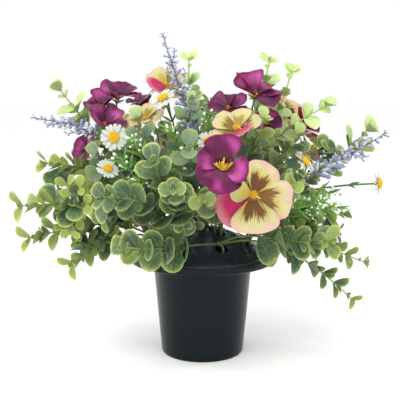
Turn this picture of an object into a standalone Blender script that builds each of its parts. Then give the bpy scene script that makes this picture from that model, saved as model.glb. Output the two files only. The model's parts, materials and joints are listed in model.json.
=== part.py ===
"""Mixed flower planter: silk pansies, daisies, lavender and leafy stems in a round plastic pot.

The pot stands on z = 0 with its axis on the z axis. The side that the arrangement faces is -Y, and +X is
to the right of someone who looks at it. Tables and shape functions are in millimetres, and MM turns them
into metres where a mesh is made.

The planting is worked out by a rule. Blooms come first, then the stems that carry them, then leaves,
florets and buds along the stems. Each piece is tried in a few attitudes, and takes the first one in which
it clears everything that is already there.
"""

import math
import random

import bmesh
import bpy
import numpy as np
from mathutils import Matrix, Vector
from mathutils.bvhtree import BVHTree

MM = 0.001

# The holder
BASE_R = 50.0
NECK_R = 59.5
NECK_Z = 111.0
RIM_R = 90.0
RIM_TOP_Z = 122.6
RIM_BEAD = 2.6
FLOOR_Z = 4.0
WALL = 2.4
FIT = 0.3
TURNED_SIDES = 24

# The pierced lid
LID_EDGE_R = 80.5
LID_TOP_Z = 155.0
LID_DROP = 31.5
LID_CURVE = 1.7
LID_WALL = 2.2
LID_LANDING_R = 74.0
LID_HOLE_R = 7.5
LID_HOLE_SIDES = 8
INNER_RING_R = 27.0
OUTER_RING_R = 56.0

# The block that the stems stand in
FOAM_TOP_Z = 116.0
STEM_FOOT_Z = 84.0
FOAM_HOLE_EASE = 1.2
SLOT_R = 4.4
FOOT_SHARE = 0.78

# Thin parts
LEAF_THICK = 1.4
PETAL_THICK = 1.3
LANCE_THICK = 1.1
LEAF_STATIONS = (0.32, 0.68, 0.95)
SMALL_LEAF_STATIONS = (0.42, 0.88)
SMALL_LEAF = 23.0
PETAL_STATIONS = (0.34, 0.68, 0.94)
CLEARANCE = 0.5
THROAT_R = 4.0
THROAT_BACK = 1.2
THROAT_FRONT = 1.5
CALYX_H = 5.0
CALYX_R = 3.4
RAYS_HALF = 0.9
RAYS_NOTCH = 0.40
RAYS_LIFT = 0.06
EYE_R = 0.34
EYE_H = 0.20
FLORET_STEP = 10.5
FLORET_LONG = 9.5
FLORET_R = 2.3
FORK_DEPTH = 2.5
STEM_SIDES = 3
CURVE_REACH = 0.4
HEAD_BUDS = 4
BUD_R = 1.9

# How the planting makes room: the eye's place, the step of a bloom along the line of sight, room over the
# rim and the lid, how many ways are tried for a stem, and the turns, tilts and sizes that are tried for a leaf
VIEWPOINT = Vector((-3.0, -1000.0, 348.0))
BLOOM_STEP = 4.0
BLOOM_TRIES = 24
RIM_ROOM = 3.0
LID_ROOM = 1.5
TRUNK_TRIES = 60
STEM_TRIES = 120
LEAF_TRIES = ((0, 0), (16, 0), (-16, 0), (0, 16), (0, -16), (30, 8), (-30, 8), (44, 0), (-44, 0), (0, 30))
LEAF_SCALES = (1.0, 0.84, 0.68)

# How leaves turn to the light
CROWN = Vector((0.0, 30.0, 180.0))
FRONT_LIGHT = Vector((0.0, -0.9, 0.5))
LIGHT_PULL = 1.0


def ring_hole(radius, degrees):
    """Centre of a lid hole on a ring."""
    turn = math.radians(degrees)
    return radius * math.cos(turn), radius * math.sin(turn)


HOLES = {
    "centre": (0.0, 0.0),
    "inner_back_right": ring_hole(INNER_RING_R, 45.0),
    "inner_back_left": ring_hole(INNER_RING_R, 135.0),
    "inner_front_left": ring_hole(INNER_RING_R, 225.0),
    "inner_front_right": ring_hole(INNER_RING_R, 315.0),
    "right_back": ring_hole(OUTER_RING_R, 22.5),
    "back_right": ring_hole(OUTER_RING_R, 67.5),
    "back_left": ring_hole(OUTER_RING_R, 112.5),
    "left_back": ring_hole(OUTER_RING_R, 157.5),
    "left_front": ring_hole(OUTER_RING_R, 202.5),
    "front_left": ring_hole(OUTER_RING_R, 247.5),
    "front_right": ring_hole(OUTER_RING_R, 292.5),
    "right_front": ring_hole(OUTER_RING_R, 337.5),
}

# Pansies: colour, middle of the flower, the way it faces, turn about that way in degrees, petal length,
# and how far the petals rise out of the flat
PANSIES = {
    "purple_pansy_1": ("purple", (60, -30, 312), (0.12, -0.55, 0.82), 0, 30, 0.60),
    "purple_pansy_2": ("purple", (21, -158, 246), (-0.12, -0.93, 0.34), 8, 30, 0.26),
    "purple_pansy_3": ("purple", (-101, 5, 306), (0.20, -0.35, 0.90), 20, 24, 1.15),
    "purple_pansy_4": ("purple", (-120, 22, 295), (-0.20, -0.35, 0.90), 140, 23, 1.05),
    "purple_pansy_5": ("purple", (-112, -40, 279), (0.30, -0.55, 0.75), 200, 24, 1.05),
    "purple_pansy_6": ("purple", (-130, -42, 252), (-0.60, -0.55, 0.45), 60, 18, 0.80),
    "purple_pansy_7": ("purple", (30, -14, 296), (-0.10, -0.55, 0.83), 30, 26, 0.40),
    "purple_pansy_8": ("purple", (74, -18, 280), (0.30, -0.85, 0.40), 0, 18, 0.45),
    "purple_pansy_9": ("purple", (116, 14, 274), (0.62, 0.35, 0.55), 15, 26, 0.45),
    "purple_pansy_10": ("purple", (-70, 34, 300), (-0.45, -0.10, 0.85), 80, 22, 0.70),
    "purple_pansy_11": ("purple", (52, 108, 268), (0.25, 0.80, 0.55), 0, 28, 0.25),
    "yellow_pansy_1": ("yellow", (53, -128, 213), (-0.06, -0.99, 0.12), 24, 41, 0.10),
    "yellow_pansy_2": ("yellow", (38, -88, 277), (-0.32, -0.55, 0.76), -25, 28, 0.52),
    "yellow_pansy_3": ("yellow", (-42, 2, 322), (0.05, -0.70, 0.70), 10, 26, 0.50),
    "yellow_pansy_4": ("yellow", (-66, -32, 284), (-0.30, -0.45, 0.84), 100, 24, 0.45),
    "yellow_pansy_5": ("yellow", (-92, -14, 278), (0.10, -0.45, 0.88), 0, 21, 0.45),
    "yellow_pansy_6": ("yellow", (98, 38, 292), (0.15, -0.65, 0.74), -20, 27, 0.25),
    "yellow_pansy_7": ("yellow", (124, 6, 240), (0.75, 0.10, 0.35), 0, 25, 0.35),
    "yellow_pansy_8": ("yellow", (-38, 128, 236), (-0.15, 0.90, 0.40), 0, 29, 0.25),
}
HEARTS = ("purple_pansy_2", "yellow_pansy_1", "yellow_pansy_2")

# Petals of one pansy: angle from the top, length, width, rise and twist, so that each lies over or under
# its neighbours
PETALS = (
    (-36.0, 1.00, 1.10, 0.00, -0.10),
    (36.0, 1.00, 1.10, 0.10, -0.10),
    (180.0, 0.98, 1.26, 0.06, 0.00),
    (-104.0, 0.94, 1.00, 0.32, 0.00),
    (104.0, 0.94, 1.00, 0.32, 0.00),
)

# Where a flower's petals differ from that: for each petal more turn, and shares of length and width, and
# more rise
SAME_PETALS = ((0.0, 1.0, 1.0, 0.0),) * 5
PETAL_CHANGES = {
    "purple_pansy_1": ((-14.0, 0.88, 0.85, 0.00), (-20.0, 0.90, 1.15, 0.10), (42.0, 1.05, 1.00, 0.00),
                       (12.0, 1.00, 0.90, -0.30), (-8.0, 1.00, 0.90, 0.00)),
    "purple_pansy_2": ((24.0, 1.02, 1.16, 0.36), (22.0, 0.92, 0.86, 0.14), (-3.0, 1.00, 1.00, -0.14),
                       (-12.0, 0.96, 1.05, 0.02), (0.0, 1.04, 1.00, -0.38)),
    "yellow_pansy_1": ((-9.0, 0.93, 0.96, 0.00), (14.0, 0.62, 0.90, -0.10), (-23.0, 1.06, 0.94, 0.12),
                       (-22.0, 1.12, 1.00, -0.12), (0.0, 1.18, 0.95, -0.36)),
}

# Daisies: middle, the way it faces, radius
DAISIES = {
    "daisy_1": ((-96, -92, 270), (0.02, -0.98, 0.15), 15.0),
    "daisy_2": ((-102, -104, 237), (0.40, -0.68, 0.62), 12.5),
    "daisy_3": ((-44, -56, 310), (-0.36, -0.52, 0.77), 15.0),
    "daisy_4": ((6, -92, 265), (-0.12, -0.88, 0.45), 13.5),
    "daisy_5": ((112, -78, 241), (0.70, -0.34, 0.62), 15.0),
    "daisy_6": ((204, -30, 211), (0.88, -0.46, 0.12), 15.0),
}
DAISY_PETALS = 14

# Stems that carry blooms: the lid hole, the fork above it, the blooms
BLOOM_STEMS = {
    "pansy_stems_left": ("left_back", (-56, 18, 168),
                         ("purple_pansy_3", "purple_pansy_4", "purple_pansy_5", "purple_pansy_6",
                          "purple_pansy_10", "yellow_pansy_4", "yellow_pansy_5")),
    "pansy_stems_centre": ("centre", (0, -4, 176),
                           ("purple_pansy_2", "purple_pansy_7", "yellow_pansy_2", "yellow_pansy_3")),
    "pansy_stems_right": ("inner_front_right", (24, -22, 170),
                          ("yellow_pansy_1", "purple_pansy_1", "purple_pansy_8")),
    "pansy_stems_back": ("back_right", (26, 50, 168),
                         ("purple_pansy_9", "yellow_pansy_6", "yellow_pansy_7",
                          "purple_pansy_11", "yellow_pansy_8")),
    "daisy_stems_left": ("inner_front_left", (-26, -26, 172), ("daisy_1", "daisy_2", "daisy_3")),
    "daisy_stems_right": ("right_front", (58, -22, 160), ("daisy_4", "daisy_5", "daisy_6")),
}

# Leafy bushes: the lid hole, the fork, then for each stem its tip, the way it leaves the fork, the way its
# tip points, pairs of leaves, leaf length at the foot and at the tip, width to length, and how far along
# the first pair grows
BUSHES = {
    "eucalyptus_front": ("front_right", (17, -58, 147), (
        ((-84, -126, 156), (-0.85, -0.50, 0.10), (-0.95, -0.15, 0.15), 7, 32, 21, 0.95, 0.36),
        ((168, -92, 88), (0.80, -0.35, 0.30), (0.75, -0.10, -0.70), 7, 28, 12, 0.66, 0.30),
        ((136, -122, 160), (0.55, -0.60, 0.50), (0.70, -0.60, 0.20), 5, 31, 20, 0.88, 0.40),
    )),
    "eucalyptus_right": ("right_front", (60, -26, 148), (
        ((185, -70, 126), (0.70, -0.20, 0.60), (0.92, -0.10, -0.25), 6, 29, 14, 0.80, 0.32),
        ((166, -38, 176), (0.50, -0.20, 0.80), (0.90, 0.00, 0.10), 5, 25, 14, 0.70, 0.40),
        ((172, 42, 138), (0.75, 0.20, 0.50), (0.90, 0.20, -0.30), 5, 29, 15, 0.82, 0.32),
    )),
    "eucalyptus_front_left": ("front_left", (-24, -58, 148), (
        ((-30, -152, 222), (0.00, -0.60, 0.75), (-0.10, -0.95, 0.25), 6, 28, 15, 0.95, 0.40),
        ((-106, -130, 211), (-0.30, -0.50, 0.80), (-0.95, -0.20, 0.05), 7, 31, 20, 0.90, 0.36),
        ((-52, -128, 248), (-0.10, -0.30, 0.90), (-0.25, -0.45, 0.85), 5, 28, 23, 0.78, 0.50),
    )),
    "eucalyptus_left": ("left_front", (-60, -26, 148), (
        ((-201, -50, 150), (-0.80, -0.20, 0.50), (-0.97, -0.05, -0.20), 8, 30, 19, 0.78, 0.30),
        ((-205, -72, 191), (-0.60, -0.30, 0.70), (-0.97, -0.05, -0.10), 8, 31, 20, 0.84, 0.30),
        ((-150, -62, 122), (-0.80, -0.35, 0.25), (-0.75, -0.20, -0.60), 6, 29, 18, 0.70, 0.35),
    )),
    "eucalyptus_left_back": ("left_back", (-62, 28, 148), (
        ((-180, -46, 237), (-0.50, -0.20, 0.85), (-0.97, -0.10, 0.05), 8, 27, 18, 0.78, 0.34),
        ((-170, 4, 320), (-0.40, 0.10, 0.90), (-0.60, 0.00, 0.80), 5, 23, 14, 0.72, 0.50),
        ((-166, 78, 166), (-0.70, 0.50, 0.50), (-0.90, 0.30, -0.20), 5, 29, 16, 0.78, 0.32),
    )),
    "eucalyptus_centre_left": ("inner_front_left", (-24, -24, 164), (
        ((-72, -80, 290), (-0.30, -0.40, 0.85), (-0.20, -0.30, 0.90), 5, 27, 19, 0.72, 0.45),
        ((-12, -68, 313), (0.05, -0.30, 0.95), (0.00, -0.20, 0.98), 5, 24, 17, 0.62, 0.45),
        ((-14, -120, 262), (0.00, -0.55, 0.80), (0.00, -0.70, 0.70), 5, 27, 20, 0.80, 0.45),
        ((-118, -72, 250), (-0.60, -0.30, 0.75), (-0.80, -0.20, 0.50), 5, 27, 18, 0.75, 0.42),
    )),
    "eucalyptus_centre_right": ("inner_front_right", (24, -26, 164), (
        ((66, -94, 292), (0.15, -0.35, 0.90), (0.20, -0.30, 0.90), 5, 27, 18, 0.66, 0.42),
        ((108, -60, 270), (0.40, -0.20, 0.85), (0.50, -0.25, 0.80), 5, 28, 19, 0.66, 0.42),
        ((94, -120, 224), (0.40, -0.50, 0.75), (0.25, -0.90, 0.30), 4, 26, 14, 0.95, 0.50),
        ((0, -140, 208), (-0.05, -0.70, 0.60), (-0.30, -0.90, 0.20), 4, 26, 16, 0.95, 0.45),
    )),
    "eucalyptus_right_back": ("right_back", (62, 28, 148), (
        ((196, -8, 273), (0.50, 0.05, 0.85), (0.65, -0.05, 0.75), 6, 25, 16, 0.72, 0.40),
        ((152, 88, 214), (0.60, 0.50, 0.70), (0.80, 0.30, 0.40), 5, 29, 18, 0.80, 0.34),
        ((128, 70, 284), (0.35, 0.30, 0.90), (0.50, 0.20, 0.85), 4, 26, 18, 0.72, 0.45),
    )),
    "eucalyptus_back": ("back_left", (-16, 64, 150), (
        ((74, 142, 186), (0.40, 0.70, 0.50), (0.70, 0.60, -0.10), 5, 31, 19, 0.84, 0.34),
        ((2, 165, 218), (0.00, 0.60, 0.80), (0.10, 0.90, 0.30), 5, 31, 19, 0.86, 0.36),
        ((-84, 142, 178), (-0.45, 0.70, 0.50), (-0.70, 0.60, -0.10), 4, 31, 19, 0.84, 0.34),
        ((-58, 112, 286), (-0.20, 0.35, 0.90), (-0.30, 0.35, 0.90), 4, 27, 18, 0.72, 0.40),
        ((12, 92, 300), (0.15, 0.20, 0.95), (0.15, 0.25, 0.95), 4, 27, 18, 0.70, 0.42),
        ((-118, 96, 232), (-0.55, 0.40, 0.75), (-0.85, 0.20, 0.45), 4, 28, 17, 0.78, 0.38),
    )),
    "light_sprigs": ("inner_back_right", (22, 20, 176), (
        ((79, 4, 354), (0.15, -0.05, 0.98), (0.10, 0.00, 1.00), 4, 15, 11, 0.70, 0.62),
        ((106, 6, 341), (0.30, -0.05, 0.95), (0.20, 0.00, 0.98), 4, 16, 11, 0.62, 0.60),
        ((146, -18, 302), (0.50, -0.10, 0.85), (0.80, -0.10, 0.45), 5, 20, 12, 0.62, 0.50),
        ((-16, 4, 356), (-0.10, -0.05, 0.98), (0.10, 0.00, 1.00), 4, 16, 12, 0.70, 0.60),
    )),
}

# Lavender: the lid hole, the fork, where the flowers begin, the tip
LAVENDER = {
    "lavender_top": ("inner_back_left", (-18, 14, 175), (-19, -30, 300), (-46, -12, 382)),
    "lavender_left": ("left_front", (-60, -14, 160), (-122, -48, 268), (-198, -12, 286)),
    "lavender_right": ("right_front", (64, -14, 160), (128, -46, 224), (215, -12, 268)),
    "lavender_middle": ("centre", (-6, -6, 180), (-12, -64, 262), (-16, -50, 322)),
}

# Sprays of buds: the lid hole, the fork, and the heads of buds
BUD_SPRAYS = {
    "bud_spray_left": ("front_left", (-30, -50, 160),
                       ((-68, -116, 226), (-88, -108, 250), (-70, -96, 204), (-74, -98, 268))),
    "bud_spray_middle": ("centre", (-4, -14, 182),
                         ((-14, -104, 262), (-34, -96, 282), (6, -78, 292), (-26, -108, 242))),
    "bud_spray_right": ("inner_front_right", (66, -34, 168),
                        ((158, -66, 190), (136, -78, 198), (128, -62, 182), (150, -46, 204))),
}


def lid_height(radius):
    """Height of the top of the lid, or of the bead round the rim past it."""
    if radius > LID_EDGE_R:
        return RIM_TOP_Z + RIM_BEAD
    return LID_TOP_Z - LID_DROP * (radius / LID_EDGE_R) ** LID_CURVE


def frame(origin, forward, up):
    """A place whose X points forward and whose Z is as near to up as it can be."""
    x = Vector(forward).normalized()
    z = Vector(up) - x * x.dot(Vector(up))
    z.normalize()
    y = z.cross(x)
    place = Matrix((x, y, z)).transposed().to_4x4()
    place.translation = origin
    return place


def bent_path(start, start_way, end, end_way, steps):
    """Points of a smooth curve that leaves one point in one direction and arrives in another."""
    start, end = Vector(start), Vector(end)
    reach = CURVE_REACH * (end - start).length
    near = start + Vector(start_way).normalized() * reach
    far = end - Vector(end_way).normalized() * reach
    points = []
    for step in range(steps + 1):
        t = step / steps
        s = 1.0 - t
        points.append(start * s**3 + near * (3 * s * s * t) + far * (3 * s * t * t) + end * t**3)
    return points


def rings_of(path):
    """For each point of a path, the way ahead and a way across that doesn't twist."""
    rings, across = [], None
    last = len(path) - 1
    for index in range(len(path)):
        ahead = (path[min(index + 1, last)] - path[max(index - 1, 0)]).normalized()
        if across is None:
            across = ahead.orthogonal()
        across = (across - ahead * across.dot(ahead)).normalized()
        rings.append((ahead, across, ahead.cross(across)))
    return rings


def tube(path, radii, sides):
    """A closed stem along a path, with a radius at each of its points."""
    verts, faces = [], []
    last = len(path) - 1
    for point, radius, (_, across, other) in zip(path, radii, rings_of(path)):
        for side in range(sides):
            turn = 2 * math.pi * side / sides
            verts.append(point + (across * math.cos(turn) + other * math.sin(turn)) * radius)
    for index in range(last):
        for side in range(sides):
            a, b = index * sides + side, index * sides + (side + 1) % sides
            faces.append((a, b, b + sides, a + sides))
    faces.append(tuple(reversed(range(sides))))
    faces.append(tuple(range(last * sides, last * sides + sides)))
    return verts, faces


def taper(thick, thin, count):
    """Radii that fall evenly from one end of a stem to the other."""
    return [thick + (thin - thick) * index / (count - 1) for index in range(count)]


def half_width(along, widest, foot, swell):
    """Half width of a blade, 1 at its widest, for a place from 0 at its foot to 1 at its tip."""
    if along < widest:
        return foot + (1.0 - foot) * math.sin(0.5 * math.pi * along / widest) ** swell
    past = (along - widest) / (1.0 - widest)
    return math.sqrt(max(0.0, 1.0 - past * past))


def blade_point(shape, along, across):
    """A point on the middle surface of a blade, for across from -1 to 1."""
    wide = half_width(along, shape["widest"], shape["foot"], shape["swell"]) * across
    x = shape["length"] * along
    y = 0.5 * shape["width"] * wide
    z = shape["length"] * (shape["rise"] * along + shape["bend"] * along * along)
    z += shape["cup"] * shape["width"] * wide * wide + shape["twist"] * y
    return Vector((x, y, z))


def blade(place, shape, grow=0.0):
    """A closed thin blade: a point at its foot, cross rows up to its end, and a keel under its middle."""
    stations, rib = shape["stations"], shape["rib"]
    stretch = 1.0 + 2.0 * grow / shape["width"]
    lift = Vector((0.0, 0.0, grow))
    local = [Vector((shape["start"], 0.0, 0.3)) + lift]
    for station in stations:
        for across in (-stretch, stretch):
            local.append(blade_point(shape, station, across) + lift)
    if shape["tip"]:
        local.append(blade_point(shape, 1.0, 0.0) + lift)
    keel = len(local)
    local.append(blade_point(shape, rib, 0.0) - Vector((0.0, 0.0, shape["thick"] + grow)))
    faces = [(0, 1, 2)]
    last = 2 * len(stations) - 1
    for row in range(1, last, 2):
        faces.append((row, row + 2, row + 3))
        faces.append((row, row + 3, row + 1))
    ring = [0] + list(range(1, last + 1, 2))
    if shape["tip"]:
        faces.append((last, keel - 1, last + 1))
        ring.append(keel - 1)
    ring += list(range(last + 1, 1, -2))
    for index, corner in enumerate(ring):
        faces.append((keel, ring[(index + 1) % len(ring)], corner))
    return [place @ point for point in local], faces


def bud(base, way, length, radius, sides=3, widest=0.45):
    """A small closed bud or floret: a point at each end and a ring between."""
    place = frame(base, way, Vector(way).orthogonal())
    local = [Vector((0, 0, 0)), Vector((length, 0, 0))]
    for side in range(sides):
        turn = 2 * math.pi * side / sides
        local.append(Vector((length * widest, radius * math.cos(turn), radius * math.sin(turn))))
    faces = []
    for side in range(sides):
        a, b = 2 + side, 2 + (side + 1) % sides
        faces.append((0, b, a))
        faces.append((1, a, b))
    return [place @ point for point in local], faces


def star(place, radius, notch, petals, lift, half):
    """A ring of daisy petals: one thin body with a notch between each two petals."""
    local = [Vector((half, 0, 0)), Vector((-half, 0, 0))]
    for petal in range(petals):
        for share, reach in ((0.0, notch), (0.30, radius), (0.74, radius)):
            turn = 2 * math.pi * (petal + share) / petals
            local.append(Vector((lift * reach, reach * math.cos(turn), reach * math.sin(turn))))
    count = 3 * petals
    faces = []
    for index in range(count):
        a, b = 2 + index, 2 + (index + 1) % count
        faces.append((0, a, b))
        faces.append((1, b, a))
    return [place @ point for point in local], faces


def dome(place, radius, height, sides):
    """The eye of a daisy: a flat-bottomed dome."""
    local = []
    for reach, rise in ((1.0, 0.0), (0.72, 0.72)):
        for side in range(sides):
            turn = 2 * math.pi * side / sides
            local.append(Vector((height * rise, radius * reach * math.cos(turn),
                                 radius * reach * math.sin(turn))))
    local.append(Vector((height, 0, 0)))
    faces = [tuple(reversed(range(sides)))]
    for side in range(sides):
        a, b = side, (side + 1) % sides
        faces.append((a, b, b + sides, a + sides))
        faces.append((a + sides, b + sides, 2 * sides))
    return [place @ point for point in local], faces


def leaf_shape(length, ratio, bend, cup):
    """Sizes of a leaf blade."""
    stations = SMALL_LEAF_STATIONS if length < SMALL_LEAF else LEAF_STATIONS
    return dict(length=length, width=length * ratio, rise=0.0, bend=bend, cup=cup, twist=0.0,
                widest=0.60, foot=0.10, swell=1.1, stations=stations, tip=False, rib=0.38,
                thick=LEAF_THICK, start=0.3)


def lance_shape(length, width, bend):
    """Sizes of a narrow leaf."""
    return dict(length=length, width=width, rise=0.0, bend=bend, cup=0.10, twist=0.0,
                widest=0.40, foot=0.25, swell=1.0, stations=(0.45,), tip=True, rib=0.40,
                thick=LANCE_THICK, start=-0.3)


def petal_shape(length, ratio, rise, bend, twist):
    """Sizes of a pansy petal."""
    return dict(length=length, width=length * ratio, rise=rise, bend=bend, cup=0.0, twist=twist,
                widest=0.64, foot=0.14, swell=1.8, stations=PETAL_STATIONS, tip=False, rib=0.42,
                thick=PETAL_THICK, start=1.0)


class Piece:
    """One blade, stem, bud or bloom part of a node, with the values that its shape comes from."""

    def __init__(self, node, kind, mesh, **values):
        self.node, self.kind, self.mesh, self.values = node, kind, mesh, values


class Planting:
    """Everything planted so far, and the test that a new piece is clear of it."""

    def __init__(self):
        self.pieces, self.trees = [], []
        self.low, self.high = np.zeros((0, 3)), np.zeros((0, 3))
        self.slots = {}

    def blocked(self, mesh, skip=(), node=None, holder=True):
        """Whether a mesh touches a piece, other than those skipped and those of the node."""
        verts, faces = mesh
        points = np.array([tuple(v) for v in verts])
        if holder:
            middles = np.array([points[list(face)].mean(axis=0) for face in faces])
            for x, y, z in np.vstack((points, middles)):
                away = math.hypot(x, y)
                if away < RIM_R + RIM_ROOM and z < lid_height(away) + LID_ROOM:
                    return True
        low, high = points.min(axis=0), points.max(axis=0)
        near = np.nonzero(np.all(self.low <= high, axis=1) & np.all(self.high >= low, axis=1))[0]
        tree = None
        for index in near:
            piece = self.pieces[index]
            if piece.node == node or any(piece is other for other in skip):
                continue
            tree = tree or BVHTree.FromPolygons(verts, faces)
            if tree.overlap(self.trees[index]):
                return True
        return False

    def add(self, piece):
        """Keep a piece."""
        verts, faces = piece.mesh
        points = np.array([tuple(v) for v in verts])
        self.pieces.append(piece)
        self.trees.append(BVHTree.FromPolygons(verts, faces))
        self.low = np.vstack((self.low, points.min(axis=0)))
        self.high = np.vstack((self.high, points.max(axis=0)))
        return piece

    def slot(self, hole):
        """A free place in a lid hole, for one more stem."""
        used = self.slots.get(hole, 0)
        self.slots[hole] = used + 1
        x, y = HOLES[hole]
        turn = math.atan2(y, x) + 2 * math.pi * used / 3
        return x + SLOT_R * math.cos(turn), y + SLOT_R * math.sin(turn)


def pansy_pieces(name, middle):
    """The petals of one pansy round its throat, and its heart where it has a node."""
    _, _, facing, turn, length, rise = PANSIES[name]
    facing = Vector(facing).normalized()
    upright = frame(middle, facing, (0, 0, 1)).to_3x3()
    draw = random.Random(name)
    throat = [middle - facing * THROAT_BACK, middle + facing * THROAT_FRONT]
    pieces = [Piece(name, "throat", tube(throat, (THROAT_R, THROAT_R), 5), middle=middle, facing=facing)]
    bend = -0.5 * rise - 0.08
    changes = PETAL_CHANGES.get(name, SAME_PETALS)
    for order, (angle, long, wide, lift, twist) in enumerate(PETALS):
        more_turn, more_length, more_width, more_lift = changes[order]
        around = math.radians(angle + turn + more_turn + draw.uniform(-3, 3))
        way = upright @ Vector((0.0, -math.sin(around), math.cos(around)))
        shape = petal_shape(length * long * more_length * draw.uniform(0.95, 1.03), wide * more_width,
                            rise + lift + more_lift, bend, twist)
        place = frame(middle, way, facing)
        pieces.append(Piece(name, "petal", blade(place, shape), place=place, shape=shape, order=order))
    if name in HEARTS:
        base = middle + facing * (THROAT_FRONT + FIT)
        pieces.append(Piece(name.replace("pansy", "heart"), "heart", bud(base, facing, 6.5, 3.0, 5, 0.35),
                            middle=middle, facing=facing))
    return pieces


def daisy_pieces(name, middle):
    """The petal ring and the eye of one daisy."""
    _, facing, radius = DAISIES[name]
    facing = Vector(facing).normalized()
    place = frame(middle, facing, (0, 0, 1))
    eye = place @ Matrix.Translation((RAYS_HALF + FIT, 0, 0))
    rays = star(place, radius, RAYS_NOTCH * radius, DAISY_PETALS, RAYS_LIFT, RAYS_HALF)
    return [
        Piece(name + "_petals", "rays", rays, place=place, radius=radius),
        Piece(name + "_eye", "eye", dome(eye, EYE_R * radius, EYE_H * radius, 8), place=eye,
              radius=EYE_R * radius),
    ]


def plant_blooms(planting):
    """Set every bloom, moved along the line of sight where another is in its way."""
    middles = {}
    for name in list(PANSIES) + list(DAISIES):
        maker = pansy_pieces if name in PANSIES else daisy_pieces
        wanted = Vector(PANSIES[name][1] if name in PANSIES else DAISIES[name][0])
        sight = (wanted - VIEWPOINT).normalized()
        for step in range(BLOOM_TRIES):
            shift = BLOOM_STEP * (step // 2) * (1 if step % 2 else -1)
            middle = wanted + sight * shift
            pieces = maker(name, middle)
            if not any(planting.blocked(piece.mesh) for piece in pieces):
                middles[name] = middle
                break
        else:
            raise RuntimeError(f"{name} has no clear place")
        for piece in pieces:
            planting.add(piece)
    return middles


def add_stem(planting, node, path, radii):
    """Keep a stem."""
    return planting.add(Piece(node, "stem", tube(path, radii, STEM_SIDES), path=path, radii=radii))


def plant_trunk(planting, node, hole, fork, radius):
    """The foot of a bush: up out of the block and a lid hole to the fork."""
    x, y = planting.slot(hole)
    top = lid_height(math.hypot(x, y))
    foot_x, foot_y = x * FOOT_SHARE, y * FOOT_SHARE
    feet = [Vector((foot_x, foot_y, STEM_FOOT_Z)), Vector((foot_x, foot_y, FOAM_TOP_Z + 1.0)),
            Vector((x, y, top - 5.0)), Vector((x, y, top + 4.0))]
    draw = random.Random(node)
    for attempt in range(TRUNK_TRIES):
        wander = Vector((draw.uniform(-1, 1), draw.uniform(-1, 1), draw.uniform(-0.3, 0.6)))
        end = Vector(fork) + wander * 1.2 * attempt
        way = end - feet[-1] + Vector((0, 0, 8))
        path = feet + bent_path(feet[-1], feet[-1] - feet[-2], end, way, 2)[1:]
        test = tube(path, [radius + CLEARANCE] * len(path), STEM_SIDES)
        if not planting.blocked(test, holder=False):
            return add_stem(planting, node, path, taper(radius, radius * 0.92, len(path)))
    raise RuntimeError(f"the trunk of {node} has no clear way")


def fork_of(trunk):
    """Where stems leave a trunk: just inside its end."""
    path = trunk.values["path"]
    return path[-1] - (path[-1] - path[-2]).normalized() * FORK_DEPTH


def clear_path(planting, node, start, start_way, end, end_way, radii, key):
    """A way for a stem from a fork to its end, bent clear of what is there."""
    draw = random.Random(node + key)
    steps = len(radii) - 1
    for attempt in range(STEM_TRIES):
        spread = 0.03 * attempt
        first = Vector(start_way).normalized() + Vector([draw.uniform(-spread, spread) for _ in range(3)])
        last = Vector(end_way).normalized()
        if attempt > 12:
            last += Vector([draw.uniform(-spread, spread) for _ in range(3)]) * 0.4
        path = bent_path(start, first, end, last, steps)
        test = tube(path, [radius + CLEARANCE for radius in radii], STEM_SIDES)
        if not planting.blocked(test, node=node):
            return path
    raise RuntimeError(f"a stem of {node} to {key} has no clear way")


def plant_stem(planting, node, start, start_way, end, end_way, radii, key):
    """A stem from a fork to its end."""
    path = clear_path(planting, node, start, start_way, end, end_way, radii, key)
    return add_stem(planting, node, path, radii)


def light_at(point):
    """The way that leaves turn to at a point: outwards, and to the front where they are seen from there."""
    outward = (point - CROWN).normalized()
    return outward + FRONT_LIGHT if point.y < CROWN.y else outward


def plant_blade(planting, node, stem, share, turn, tilt, shape, partners, kind):
    """One leaf on a stem, in the first attitude that is clear."""
    point, ahead, across, other = along(stem, share)
    light = light_at(point) * LIGHT_PULL
    for scale in LEAF_SCALES:
        for more_turn, more_tilt in LEAF_TRIES:
            angle = math.radians(turn + more_turn)
            lean = math.radians(tilt + more_tilt)
            out = across * math.cos(angle) + other * math.sin(angle)
            way = out * math.cos(lean) + ahead * math.sin(lean)
            face = ahead * math.cos(lean) - out * math.sin(lean) + light
            size = dict(shape, length=shape["length"] * scale, width=shape["width"] * scale)
            place = frame(point, way, face)
            if not planting.blocked(blade(place, size, CLEARANCE), skip=(stem, *partners)):
                return planting.add(Piece(node, kind, blade(place, size), place=place, shape=size,
                                          share=share))
    return None


def along(stem, share):
    """A point at a share of the way along a stem, the way ahead there and two ways across."""
    path = stem.values["path"]
    at = share * (len(path) - 1)
    index = min(int(at), len(path) - 2)
    point = path[index].lerp(path[index + 1], at - index)
    ahead = (path[index + 1] - path[index]).normalized()
    across = rings_of(path)[index][1]
    across = (across - ahead * across.dot(ahead)).normalized()
    return point, ahead, across, ahead.cross(across)


def plant_pair(planting, node, stem, share, turn, tilt, shapes, kind):
    """Two leaves on opposite sides of a stem."""
    partners = []
    for side, shape in zip((0, 180), shapes):
        leaf = plant_blade(planting, node, stem, share, turn + side, tilt, shape, partners, kind)
        if leaf:
            partners.append(leaf)


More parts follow.
